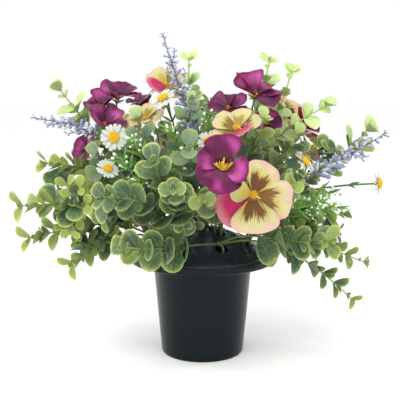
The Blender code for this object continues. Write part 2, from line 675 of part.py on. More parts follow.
def plant_bush(planting, node):
    """A leafy bush: a trunk, its stems and their pairs of leaves."""
    hole, fork, stems = BUSHES[node]
    light = node == "light_sprigs"
    thick = 1.3 if light else 1.6
    start = fork_of(plant_trunk(planting, node, hole, fork, thick + 0.3))
    draw = random.Random(node + " leaves")
    for number, (tip, start_way, end_way, pairs, big, small, ratio, first) in enumerate(stems):
        radii = taper(thick, 1.0, 6)
        stem = plant_stem(planting, node, start, start_way, tip, end_way, radii, f"tip {number}")
        for pair in range(pairs):
            share = first + (0.98 - first) * pair / (pairs - 1)
            length = big + (small - big) * pair / (pairs - 1)
            shapes = [leaf_shape(length * draw.uniform(0.92, 1.08), ratio, draw.uniform(-0.10, 0.06),
                                 draw.uniform(0.05, 0.12)) for _ in range(2)]
            plant_pair(planting, node, stem, share, 45 + 90 * pair + draw.uniform(-8, 8),
                       draw.uniform(22, 44), shapes, "leaf")


def plant_bloom_stems(planting, node, middles):
    """The green stems of several blooms, each widening to a calyx under its bloom."""
    hole, fork, blooms = BLOOM_STEMS[node]
    daisies = node.startswith("daisy")
    start = fork_of(plant_trunk(planting, node, hole, fork, 1.7))
    draw = random.Random(node + " leaves")
    for name in blooms:
        facing = Vector(DAISIES[name][1] if daisies else PANSIES[name][2]).normalized()
        end = middles[name] - facing * ((RAYS_HALF if daisies else THROAT_BACK) + FIT)
        neck = end - facing * CALYX_H
        way = (neck - start).normalized() + Vector((0, 0, 0.8))
        radii = taper(1.3, 1.1, 5)
        path = clear_path(planting, node, start, way, neck, facing, radii, name)
        stem = add_stem(planting, node, path + [end], radii + [CALYX_R])
        if daisies:
            for number, share in enumerate((0.50, 0.66)):
                shapes = [lance_shape(draw.uniform(14, 19), 4.0, 0.10) for _ in range(2)]
                plant_pair(planting, node, stem, share, 45 + 90 * number, 50, shapes, "lance")


def plant_lavender(planting, node):
    """A spike of lavender: whorls of florets up a thin stem."""
    hole, fork, low, tip = LAVENDER[node]
    low, tip = Vector(low), Vector(tip)
    start = fork_of(plant_trunk(planting, node, hole, fork, 1.5))
    way = (tip - low).normalized()
    rising = Vector((0, 0, 1)) + (low - start).normalized()
    plant_stem(planting, node, start, rising, low, way, taper(1.2, 1.1, 5), "its flowers")
    sag = 0.5 * (low + tip) + Vector((0, 0, -2.5))
    spike = plant_stem(planting, node, low - way * 1.5, way, tip, tip - sag, taper(1.1, 0.6, 4), "its tip")
    draw = random.Random(node + " florets")
    whorls = int((tip - low).length / FLORET_STEP)
    for whorl in range(whorls):
        share = 0.03 + 0.93 * whorl / (whorls - 1)
        point, ahead, across, other = along(spike, share)
        for side in range(3 if share < 0.7 else 2):
            angle = math.radians(60 + 120 * side + 60 * whorl + draw.uniform(-20, 20))
            out = across * math.cos(angle) + other * math.sin(angle) + ahead * draw.uniform(0.4, 0.9)
            length = (1.0 - 0.4 * share) * FLORET_LONG * draw.uniform(0.85, 1.2)
            radius = (1.0 - 0.4 * share) * FLORET_R
            if not planting.blocked(bud(point, out, length + 1, radius + CLEARANCE), node=node):
                planting.add(Piece(node, "floret", bud(point, out, length, radius, 3, 0.60),
                                   base=point, way=out, length=length, radius=radius, share=share))


def plant_bud_spray(planting, node):
    """A spray of small buds: a stem to each head, lance leaves under it and drop-shaped buds."""
    hole, fork, heads = BUD_SPRAYS[node]
    start = fork_of(plant_trunk(planting, node, hole, fork, 1.6))
    draw = random.Random(node + " buds")
    for number, head in enumerate(heads):
        head = Vector(head)
        straight = (head - start).normalized()
        stem = plant_stem(planting, node, start, straight + Vector((0, 0, 0.5)), head,
                          straight + Vector((0, -0.2, 0.3)), taper(1.2, 0.9, 5), f"head {number}")
        shapes = [lance_shape(draw.uniform(17, 23), 4.4, draw.uniform(-0.1, 0.2)) for _ in range(2)]
        plant_pair(planting, node, stem, 0.84, draw.uniform(0, 360), 48, shapes, "lance")
        for number in range(HEAD_BUDS):
            point, ahead, across, other = along(stem, 0.90 + 0.045 * (number % 3))
            angle = math.radians(360 * number / HEAD_BUDS + draw.uniform(-15, 15))
            out = (across * math.cos(angle) + other * math.sin(angle)) * 0.9 + ahead
            length = draw.uniform(11, 16)
            if not planting.blocked(bud(point, out, length + 1, BUD_R + CLEARANCE, 3, 0.75), node=node):
                planting.add(Piece(node, "bud", bud(point, out, length, BUD_R, 3, 0.78),
                                   base=point, way=out, length=length))


def plant_everything():
    """The whole planting, in the order in which pieces make room for each other."""
    planting = Planting()
    middles = plant_blooms(planting)
    for node in BLOOM_STEMS:
        plant_bloom_stems(planting, node, middles)
    for node in LAVENDER:
        plant_lavender(planting, node)
    for node in BUSHES:
        plant_bush(planting, node)
    for node in BUD_SPRAYS:
        plant_bud_spray(planting, node)
    return planting


def clear_scene():
    """Start from an empty scene."""
    for item in list(bpy.data.objects):
        bpy.data.objects.remove(item, do_unlink=True)


def material(name, colour, roughness):
    """A plain Principled material."""
    finish = bpy.data.materials.new(name)
    finish.use_nodes = True
    shader = finish.node_tree.nodes["Principled BSDF"]
    shader.inputs["Base Color"].default_value = (*colour, 1.0)
    shader.inputs["Roughness"].default_value = roughness
    shader.inputs["Metallic"].default_value = 0.0
    finish.diffuse_color = (*colour, 1.0)
    return finish


def solid(name, mesh):
    """An object from points in millimetres and faces."""
    verts, faces = mesh
    data = bpy.data.meshes.new(name)
    data.from_pydata([tuple(Vector(v) * MM) for v in verts], [], faces)
    data.update()
    item = bpy.data.objects.new(name, data)
    bpy.context.scene.collection.objects.link(item)
    return item


def settle(item):
    """Turn an object's modifiers into its mesh."""
    graph = bpy.context.evaluated_depsgraph_get()
    data = bpy.data.meshes.new_from_object(item.evaluated_get(graph), depsgraph=graph)
    item.modifiers.clear()
    old = item.data
    item.data = data
    bpy.data.meshes.remove(old)
    return item


def closed(data):
    """Whether each edge of a mesh has two faces."""
    shape = bmesh.new()
    shape.from_mesh(data)
    whole = all(len(edge.link_faces) == 2 for edge in shape.edges)
    shape.free()
    return whole


def joined(name, meshes):
    """One body from meshes that grow out of each other, by the first solver that closes it."""
    base = solid(name, meshes[0])
    if len(meshes) == 1:
        return base
    group = bpy.data.collections.new(name + " repeats")
    bpy.context.scene.collection.children.link(group)
    extras = []
    for index, mesh in enumerate(meshes[1:]):
        extra = solid(f"{name} repeat {index}", mesh)
        bpy.context.scene.collection.objects.unlink(extra)
        group.objects.link(extra)
        extras.append(extra)
    first = base.data.copy()
    for solver in ("EXACT", "MANIFOLD"):
        base.data = first.copy()
        union = base.modifiers.new("Union", "BOOLEAN")
        union.operation = "UNION"
        union.operand_type = "COLLECTION"
        union.collection = group
        union.solver = solver
        settle(base)
        if closed(base.data):
            break
    for extra in extras:
        bpy.data.objects.remove(extra, do_unlink=True)
    bpy.data.collections.remove(group)
    return base


def turned(name, profile, sides):
    """A turned body from a profile that starts and ends on its axis, up its outer side first."""
    verts, rings = [], []
    for radius, height in profile:
        if radius == 0.0:
            rings.append([len(verts)])
            verts.append(Vector((0, 0, height)))
            continue
        rings.append(list(range(len(verts), len(verts) + sides)))
        for side in range(sides):
            turn = 2 * math.pi * side / sides
            verts.append(Vector((radius * math.cos(turn), radius * math.sin(turn), height)))
    faces = []
    for low, high in zip(rings, rings[1:]):
        for side in range(sides):
            ahead = (side + 1) % sides
            if len(low) == 1:
                faces.append((low[0], high[ahead], high[side]))
            elif len(high) == 1:
                faces.append((low[side], low[ahead], high[0]))
            else:
                faces.append((low[side], low[ahead], high[ahead], high[side]))
    return solid(name, (verts, faces))


def drilled(item, holes):
    """Cut upright holes, each given by its centre, radius, foot, top and number of sides."""
    verts, faces = [], []
    for (x, y), radius, low, high, sides in holes:
        path = [Vector((x, y, low)), Vector((x, y, high))]
        more_verts, more_faces = tube(path, (radius, radius), sides)
        faces += [tuple(index + len(verts) for index in face) for face in more_faces]
        verts += more_verts
    cutter = solid(item.name + " drill", (verts, faces))
    cutter.hide_render = True
    cutter.display_type = "WIRE"
    cut = item.modifiers.new("Holes", "BOOLEAN")
    cut.operation = "DIFFERENCE"
    cut.object = cutter
    cut.solver = "EXACT"
    settle(item)
    bpy.data.objects.remove(cutter, do_unlink=True)
    return item


def make_pot():
    """The pot: a tapered cup with a broad rim that ends in a fat bead round the lid."""
    inner_floor = BASE_R - WALL
    inner_neck = NECK_R - WALL
    return turned("pot", (
        (0.0, 0.0), (BASE_R - 4.0, 0.0), (BASE_R, 1.6), (NECK_R, NECK_Z),
        (NECK_R + 4.0, NECK_Z + 2.6), (RIM_R - 8.0, NECK_Z + 3.6), (RIM_R - 2.4, NECK_Z + 5.4),
        (RIM_R, NECK_Z + 8.8), (RIM_R - 0.8, NECK_Z + 12.0), (RIM_R - 3.2, RIM_TOP_Z + RIM_BEAD),
        (LID_EDGE_R + 2.8, RIM_TOP_Z + RIM_BEAD - 0.4), (LID_EDGE_R + 1.0, RIM_TOP_Z),
        (inner_neck + 4.0, RIM_TOP_Z), (inner_neck, RIM_TOP_Z - 3.0), (inner_floor, FLOOR_Z), (0.0, FLOOR_Z),
    ), TURNED_SIDES)


def make_lid():
    """The lid: a thin dome on the rim, with a hole in the middle and two rings of holes."""
    foot = RIM_TOP_Z + FIT
    under = [(radius, lid_height(radius) - LID_WALL) for radius in (0.0, 36.0, 60.0)]
    over = [(radius, lid_height(radius)) for radius in (66.0, 44.0, 20.0, 0.0)]
    edge = [(LID_LANDING_R, foot), (LID_EDGE_R - 0.4, foot), (LID_EDGE_R, foot + 0.8)]
    lid = turned("lid", under + edge + over, TURNED_SIDES)
    holes = [(centre, LID_HOLE_R, 110.0, 165.0, LID_HOLE_SIDES) for centre in HOLES.values()]
    return drilled(lid, holes)


def make_foam(planting):
    """The block inside the pot, with a plain hole for each stem."""
    taper = (NECK_R - BASE_R) / NECK_Z
    low, high = BASE_R - WALL - FIT, BASE_R - WALL - FIT + taper * FOAM_TOP_Z - 0.6
    foam = turned("foam_block", ((0.0, FLOOR_Z + FIT), (low, FLOOR_Z + FIT), (high, FOAM_TOP_Z),
                                 (0.0, FOAM_TOP_Z)), TURNED_SIDES)
    holes = []
    for piece in planting.pieces:
        if piece.kind == "stem" and piece.values["path"][0].z == STEM_FOOT_Z:
            foot = piece.values["path"][0]
            radius = (piece.values["radii"][0] + FIT) * FOAM_HOLE_EASE
            holes.append(((foot.x, foot.y), radius, STEM_FOOT_Z - FIT, FOAM_TOP_Z + 5.0, 6))
    return drilled(foam, holes)


# The finishes: colour and roughness
FINISHES = {
    "pot": ((0.012, 0.016, 0.019), 0.35),
    "lid": ((0.012, 0.016, 0.019), 0.32),
    "foam": ((0.05, 0.13, 0.05), 0.95),
    "eucalyptus": ((0.12, 0.25, 0.08), 0.55),
    "light": ((0.35, 0.60, 0.18), 0.50),
    "purple": ((0.33, 0.02, 0.20), 0.45),
    "yellow": ((0.85, 0.72, 0.25), 0.55),
    "stems": ((0.10, 0.25, 0.06), 0.50),
    "petals": ((0.85, 0.85, 0.76), 0.60),
    "eye": ((0.85, 0.50, 0.02), 0.75),
    "heart": ((0.80, 0.52, 0.05), 0.75),
    "lavender": ((0.25, 0.27, 0.52), 0.65),
    "bud": ((0.16, 0.42, 0.08), 0.50),
}


def finish_of(node):
    """The finish of a node, from the words in its name."""
    for word in ("eye", "petals", "stems", "heart"):
        if word in node:
            return word
    return next(word for word in FINISHES if word in node)


def make_planting(planting):
    """Each node of the planting as one body."""
    nodes = {}
    for piece in planting.pieces:
        nodes.setdefault(piece.node, []).append(piece.mesh)
    return [joined(node, meshes) for node, meshes in nodes.items()]


def main():
    clear_scene()
    planting = plant_everything()
    items = [make_pot(), make_lid(), make_foam(planting)] + make_planting(planting)
    for item in items:
        item.data.materials.clear()
        item.data.materials.append(material(item.name + " finish", *FINISHES[finish_of(item.name)]))
        if item.name in ("pot", "lid", "foam_block"):
            item.data.shade_smooth()
            item.data.set_sharp_from_angle(angle=math.radians(35.0))


if __name__ == "__main__":
    main()
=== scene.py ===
"""Looks of a mixed flower planter: silk pansies, daisies, lavender, bud sprays and eucalyptus in a black pot.

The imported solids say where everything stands. The planting rule below is the one that the solids were made
by, so it gives the place, length and attitude of each petal, leaf, floret, bud and stem again, and each is
then made as a fine surface. Tables and planting are in millimetres; MM turns them into metres.
"""

import json
import math
import random
from functools import cache

import bmesh
import bpy
import numpy as np
from bpy.props import FloatProperty, FloatVectorProperty, IntProperty, PointerProperty
from bpy.types import Operator, Panel, PropertyGroup
from mathutils import Matrix, Vector
from mathutils.bvhtree import BVHTree

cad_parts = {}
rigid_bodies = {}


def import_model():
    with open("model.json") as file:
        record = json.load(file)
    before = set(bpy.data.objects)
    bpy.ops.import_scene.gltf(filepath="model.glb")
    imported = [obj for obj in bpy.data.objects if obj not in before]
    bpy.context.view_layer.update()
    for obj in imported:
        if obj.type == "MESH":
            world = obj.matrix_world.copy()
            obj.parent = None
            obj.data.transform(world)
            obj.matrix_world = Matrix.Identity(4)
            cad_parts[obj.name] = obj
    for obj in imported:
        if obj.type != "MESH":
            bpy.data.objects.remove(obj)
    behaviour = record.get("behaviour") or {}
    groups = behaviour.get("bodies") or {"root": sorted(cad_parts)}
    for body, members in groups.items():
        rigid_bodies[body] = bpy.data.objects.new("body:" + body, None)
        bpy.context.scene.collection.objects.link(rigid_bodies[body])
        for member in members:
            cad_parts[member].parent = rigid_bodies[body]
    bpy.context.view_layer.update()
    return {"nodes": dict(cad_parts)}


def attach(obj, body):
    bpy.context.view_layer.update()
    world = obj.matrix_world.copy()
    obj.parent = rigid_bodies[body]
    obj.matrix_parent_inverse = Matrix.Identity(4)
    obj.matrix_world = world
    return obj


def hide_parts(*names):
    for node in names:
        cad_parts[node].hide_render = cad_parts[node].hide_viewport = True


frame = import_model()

bl_info = {
    "name": "Mixed Flower Planter",
    "version": (1, 0, 0),
    "blender": (4, 5, 0),
    "location": "3D View > Sidebar > Planter",
    "description": "Makes the pot, foliage and blooms of a mixed flower planter",
    "category": "Object",
}

MM = 0.001

# Parts that only the looks have
SPROUT = 9.0
SMALL_FLORETS = 17
POINT_POWER = 1.7
RIM_ANGLE = 80.0
PETAL_RAYS = 37
PETAL_RINGS = 14
LEAF_FORMS = ((-0.1, 0.06), (-0.08, 0.1), (-0.06, 0.12), (-0.04, 0.06), (-0.01, 0.09), (0.01, 0.06),
              (0.04, 0.1), (0.06, 0.07))
LEAF_CUP = 1.7
GOLDEN_TURN = 2.39996

# Leaves past this distance from the middle and above this height are longer, by this much
FAR_LEAVES = (128.0, 238.0)
FAR_LEAF_GROWTH = 1.45

# How far leaves turn to the viewer, in a bush and on the light sprigs
TO_VIEWER = 0.12
SPRIG_TO_VIEWER = 0.6

# Stamens on an open purple heart, on an open yellow one and on a plain pansy
CREST_STAMENS = 22
HEART_STAMENS = 70
PLAIN_STAMENS = 10

# How much of its solid the dome of a daisy's eye fills, in height and width
EYE_FILL = (0.92, 0.94)

# Sepals under a bloom: how far back they start, how many, length, width, spread
SEPALS = {"daisy": (1.0, 11, 5.0, 1.9, 0.3), "pansy": (1.6, 5, 8.5, 3.8, 0.45)}

# The curl of a stigma: how far out of the flower and how far down each of its points lies
STIGMA = ((4.4, 2.0), (5.0, 4.4), (4.6, 6.6), (3.2, 7.6))

# The finishes and the sets of small shapes that have been made
FINISHES = {}
SHAPES = {}

# Twigs that fill the bushes: for each space that they fill, its middle, its half size, how many are tried and
# their leaves' length; and how far a twig may reach from its stem
FILLS = (
    ((-116, -44, 192), (58, 58, 54), 120, (18, 26)),
    ((108, -34, 160), (36, 44, 38), 44, (17, 25)),
    ((0, -4, 218), (150, 116, 92), 420, (13, 22)),
)
TWIG_REACH = (14.0, 62.0)

# How silvery and how yellow the leaves of a bush are
BUSH_LOOKS = {
    "eucalyptus_left": (0.0, 0.25), "eucalyptus_left_back": (0.0, 0.22),
    "eucalyptus_front_left": (0.1, -0.2), "eucalyptus_front": (0.0, -0.05), "eucalyptus_right": (0.0, 0.1),
    "eucalyptus_centre_left": (0.8, -0.2), "eucalyptus_centre_right": (0.4, 0.1),
    "eucalyptus_right_back": (0.2, 0.3), "eucalyptus_back": (0.3, 0.05), "light_sprigs": (0.0, 0.0),
}

# The part of the lid that shows from the front, by its lowest and highest X and Y at this height
LID_WINDOW = ((-22.0, -90.0), (84.0, 62.0), 138.0)

# How much blotch and how much pink each petal has, in the order of PETALS; 2 is a petal that is pink all over
PETAL_LOOKS = {
    "purple": ((0.4, 0.0), (0.4, 0.0), (0.3, 0.0), (0.3, 0.0), (0.3, 0.0)),
    "purple_pansy_2": ((1.0, 0.0), (0.3, 0.0), (0.3, 0.0), (1.0, 0.0), (0.2, 0.0)),
    "purple_pansy_9": ((0.1, 0.7), (0.1, 0.6), (0.1, 0.8), (0.1, 0.7), (0.1, 0.6)),
    "yellow": ((0.8, 0.6), (0.7, 0.5), (0.9, 0.8), (0.6, 1.0), (0.6, 0.4)),
    "yellow_pansy_1": ((1.0, 0.7), (0.0, 0.0), (1.0, 0.6), (0.9, 0.8), (0.0, 2.0)),
    "yellow_pansy_2": ((0.9, 0.3), (0.5, 0.3), (0.8, 0.5), (0.2, 2.0), (0.8, 0.4)),
    "yellow_pansy_3": ((0.7, 0.3), (0.2, 0.4), (0.6, 0.8), (0.5, 0.6), (0.1, 2.0)),
}

# More cup, curl of the rim, painted light (how lit the petal is painted) and folded side of single petals, in
# the order of PETALS
PETAL_FORMS = {
    "purple_pansy_1": ((0.16, 0.08, 0.7, 0.0), (0.16, 0.06, 0.9, 0.0), (0.1, -0.1, 0.2, 0.0),
                       (0.1, 0.0, 0.5, 0.0), (0.2, 0.1, 0.1, 0.0)),
    "purple_pansy_2": ((0.22, 0.02, 0.8, 0.0), (0.12, -0.06, 0.7, 0.0), (0.04, -0.06, 0.1, 0.0),
                       (0.1, -0.04, 1.0, 0.0), (-0.06, -0.14, 0.0, 0.0)),
    "yellow_pansy_1": ((0.06, 0.0, 1.0, 0.0), (0.06, 0.06, 1.0, 0.0), (0.08, -0.05, 1.0, 0.16),
                       (0.06, -0.04, 1.0, 0.0), (-0.16, -0.06, 1.0, 0.0)),
}

# How strongly petals of a colour wave, and how much deeper than the solids they cup
PETAL_CALM = {"purple": 1.0, "yellow": 0.7}
PETAL_CUP = {"purple": 0.12, "yellow": 0.02}

# The holder
BASE_R = 50.0
NECK_R = 59.5
NECK_Z = 111.0
RIM_R = 90.0
RIM_TOP_Z = 122.6
RIM_BEAD = 2.6
FLOOR_Z = 4.0
WALL = 2.4
FIT = 0.3
POT_TOP_Z = RIM_TOP_Z + RIM_BEAD
CORNER_ANGLE = 38.0

# The pierced lid
LID_EDGE_R = 80.5
LID_TOP_Z = 155.0
LID_DROP = 31.5
LID_CURVE = 1.7
LID_WALL = 2.2
LID_LANDING_R = 74.0
LID_HOLE_R = 7.5
LID_UNDER_R = 66.0
LID_OVER_R = 75.0
DRILL_Z = 145.0
COLLAR_R = 8.3
COLLAR_WIRE_R = 0.9
INNER_RING_R = 27.0
OUTER_RING_R = 56.0

# The block that the stems stand in
FOAM_TOP_Z = 116.0
STEM_FOOT_Z = 84.0
SLOT_R = 4.4
FOOT_SHARE = 0.78

# Thin parts
LEAF_THICK = 1.4
PETAL_THICK = 1.3
LANCE_THICK = 1.1
LEAF_STATIONS = (0.32, 0.68, 0.95)
SMALL_LEAF_STATIONS = (0.42, 0.88)
SMALL_LEAF = 23.0
PETAL_STATIONS = (0.34, 0.68, 0.94)
CLEARANCE = 0.5
THROAT_R = 4.0
THROAT_BACK = 1.2
THROAT_FRONT = 1.5
CALYX_H = 5.0
CALYX_R = 3.4
RAYS_HALF = 0.9
RAYS_NOTCH = 0.4
RAYS_LIFT = 0.06
EYE_R = 0.34
EYE_H = 0.2
FLORET_STEP = 10.5
FLORET_LONG = 9.5
FLORET_R = 2.3
FORK_DEPTH = 2.5
STEM_SIDES = 3
CURVE_REACH = 0.4
HEAD_BUDS = 4
BUD_R = 1.9

# How the planting makes room: the eye's place, the step of a bloom along the line of sight, room over the
# rim and the lid, how many ways are tried for a stem, the turns, tilts and sizes that are tried for a leaf,
# and how far before a point and how far on from there something that it hides may lie
VIEWPOINT = Vector((-3.0, -1000.0, 348.0))
BLOOM_STEP = 4.0
BLOOM_TRIES = 24
RIM_ROOM = 3.0
LID_ROOM = 1.5
TRUNK_TRIES = 60
STEM_TRIES = 120
LEAF_TRIES = ((0, 0), (16, 0), (-16, 0), (0, 16), (0, -16), (30, 8), (-30, 8), (44, 0), (-44, 0), (0, 30))
LEAF_SCALES = (1.0, 0.84, 0.68)
HIDING_REACH = (6.0, 260.0)

# The stage: half the floor's width in millimetres, and the point in metres that the lights look at
FLOOR_HALF = 6000.0
LIGHT_AIM = Vector((0.0, 0.0, 0.2))

# How leaves turn to the light
CROWN = Vector((0.0, 30.0, 180.0))
FRONT_LIGHT = Vector((0.0, -0.9, 0.5))
LIGHT_PULL = 1.0


def ring_holes(radius, turn, *names):
    """Centres of the lid holes on a ring by their names, evenly spaced from a turn in degrees."""
    turns = [math.radians(turn + 360.0 * number / len(names)) for number in range(len(names))]
    return {name: (radius * math.cos(angle), radius * math.sin(angle)) for name, angle in zip(names, turns)}


HOLES = {
    "centre": (0.0, 0.0),
    **ring_holes(INNER_RING_R, 45.0, "inner_back_right", "inner_back_left", "inner_front_left",
                 "inner_front_right"),
    **ring_holes(OUTER_RING_R, 22.5, "right_back", "back_right", "back_left", "left_back", "left_front",
                 "front_left", "front_right", "right_front"),
}

# Pansies of each colour: middle of the flower, the way it faces, turn about that way in degrees, petal
# length, and how far the petals rise out of the flat
PANSY_ROWS = {
    "purple": (
        ((60, -30, 312), (0.12, -0.55, 0.82), 0, 30, 0.6),
        ((21, -158, 246), (-0.12, -0.93, 0.34), 8, 30, 0.26),
        ((-101, 5, 306), (0.2, -0.35, 0.9), 20, 24, 1.15),
        ((-120, 22, 295), (-0.2, -0.35, 0.9), 140, 23, 1.05),
        ((-112, -40, 279), (0.3, -0.55, 0.75), 200, 24, 1.05),
        ((-130, -42, 252), (-0.6, -0.55, 0.45), 60, 18, 0.8),
        ((30, -14, 296), (-0.1, -0.55, 0.83), 30, 26, 0.4),
        ((74, -18, 280), (0.3, -0.85, 0.4), 0, 18, 0.45),
        ((116, 14, 274), (0.62, 0.35, 0.55), 15, 26, 0.45),
        ((-70, 34, 300), (-0.45, -0.1, 0.85), 80, 22, 0.7),
        ((52, 108, 268), (0.25, 0.8, 0.55), 0, 28, 0.25),
    ),
    "yellow": (
        ((53, -128, 213), (-0.06, -0.99, 0.12), 24, 41, 0.1),
        ((38, -88, 277), (-0.32, -0.55, 0.76), -25, 28, 0.52),
        ((-42, 2, 322), (0.05, -0.7, 0.7), 10, 26, 0.5),
        ((-66, -32, 284), (-0.3, -0.45, 0.84), 100, 24, 0.45),
        ((-92, -14, 278), (0.1, -0.45, 0.88), 0, 21, 0.45),
        ((98, 38, 292), (0.15, -0.65, 0.74), -20, 27, 0.25),
        ((124, 6, 240), (0.75, 0.1, 0.35), 0, 25, 0.35),
        ((-38, 128, 236), (-0.15, 0.9, 0.4), 0, 29, 0.25),
    ),
}
PANSIES = {f"{colour}_pansy_{number}": (colour, *row) for colour, rows in PANSY_ROWS.items()
           for number, row in enumerate(rows, 1)}
HEARTS = ("purple_pansy_2", "yellow_pansy_1", "yellow_pansy_2")

# Petals of one pansy: angle from the top, length, width, rise and twist, so that each lies over or under
# its neighbours
PETALS = (
    (-36.0, 1.0, 1.1, 0.0, -0.1),
    (36.0, 1.0, 1.1, 0.1, -0.1),
    (180.0, 0.98, 1.26, 0.06, 0.0),
    (-104.0, 0.94, 1.0, 0.32, 0.0),
    (104.0, 0.94, 1.0, 0.32, 0.0),
)

# Where a flower's petals differ from that: for each petal more turn, and shares of length and width, and
# more rise
SAME_PETALS = ((0.0, 1.0, 1.0, 0.0),) * 5
PETAL_CHANGES = {
    "purple_pansy_1": ((-14.0, 0.88, 0.85, 0.0), (-20.0, 0.9, 1.15, 0.1), (42.0, 1.05, 1.0, 0.0),
                       (12.0, 1.0, 0.9, -0.3), (-8.0, 1.0, 0.9, 0.0)),
    "purple_pansy_2": ((24.0, 1.02, 1.16, 0.36), (22.0, 0.92, 0.86, 0.14), (-3.0, 1.0, 1.0, -0.14),
                       (-12.0, 0.96, 1.05, 0.02), (0.0, 1.04, 1.0, -0.38)),
    "yellow_pansy_1": ((-9.0, 0.93, 0.96, 0.0), (14.0, 0.62, 0.9, -0.1), (-23.0, 1.06, 0.94, 0.12),
                       (-22.0, 1.12, 1.0, -0.12), (0.0, 1.18, 0.95, -0.36)),
}

# Daisies: middle, the way it faces, radius
DAISIES = {
    "daisy_1": ((-96, -92, 270), (0.02, -0.98, 0.15), 15.0),
    "daisy_2": ((-102, -104, 237), (0.4, -0.68, 0.62), 12.5),
    "daisy_3": ((-44, -56, 310), (-0.36, -0.52, 0.77), 15.0),
    "daisy_4": ((6, -92, 265), (-0.12, -0.88, 0.45), 13.5),
    "daisy_5": ((112, -78, 241), (0.7, -0.34, 0.62), 15.0),
    "daisy_6": ((204, -30, 211), (0.88, -0.46, 0.12), 15.0),
}
DAISY_PETALS = 14

# Stems that carry blooms: the lid hole, the fork above it, the blooms
BLOOM_STEMS = {
    "pansy_stems_left": ("left_back", (-56, 18, 168),
                         ("purple_pansy_3", "purple_pansy_4", "purple_pansy_5", "purple_pansy_6",
                          "purple_pansy_10", "yellow_pansy_4", "yellow_pansy_5")),
    "pansy_stems_centre": ("centre", (0, -4, 176),
                           ("purple_pansy_2", "purple_pansy_7", "yellow_pansy_2", "yellow_pansy_3")),
    "pansy_stems_right": ("inner_front_right", (24, -22, 170),
                          ("yellow_pansy_1", "purple_pansy_1", "purple_pansy_8")),
    "pansy_stems_back": ("back_right", (26, 50, 168),
                         ("purple_pansy_9", "yellow_pansy_6", "yellow_pansy_7",
                          "purple_pansy_11", "yellow_pansy_8")),
    "daisy_stems_left": ("inner_front_left", (-26, -26, 172), ("daisy_1", "daisy_2", "daisy_3")),
    "daisy_stems_right": ("right_front", (58, -22, 160), ("daisy_4", "daisy_5", "daisy_6")),
}

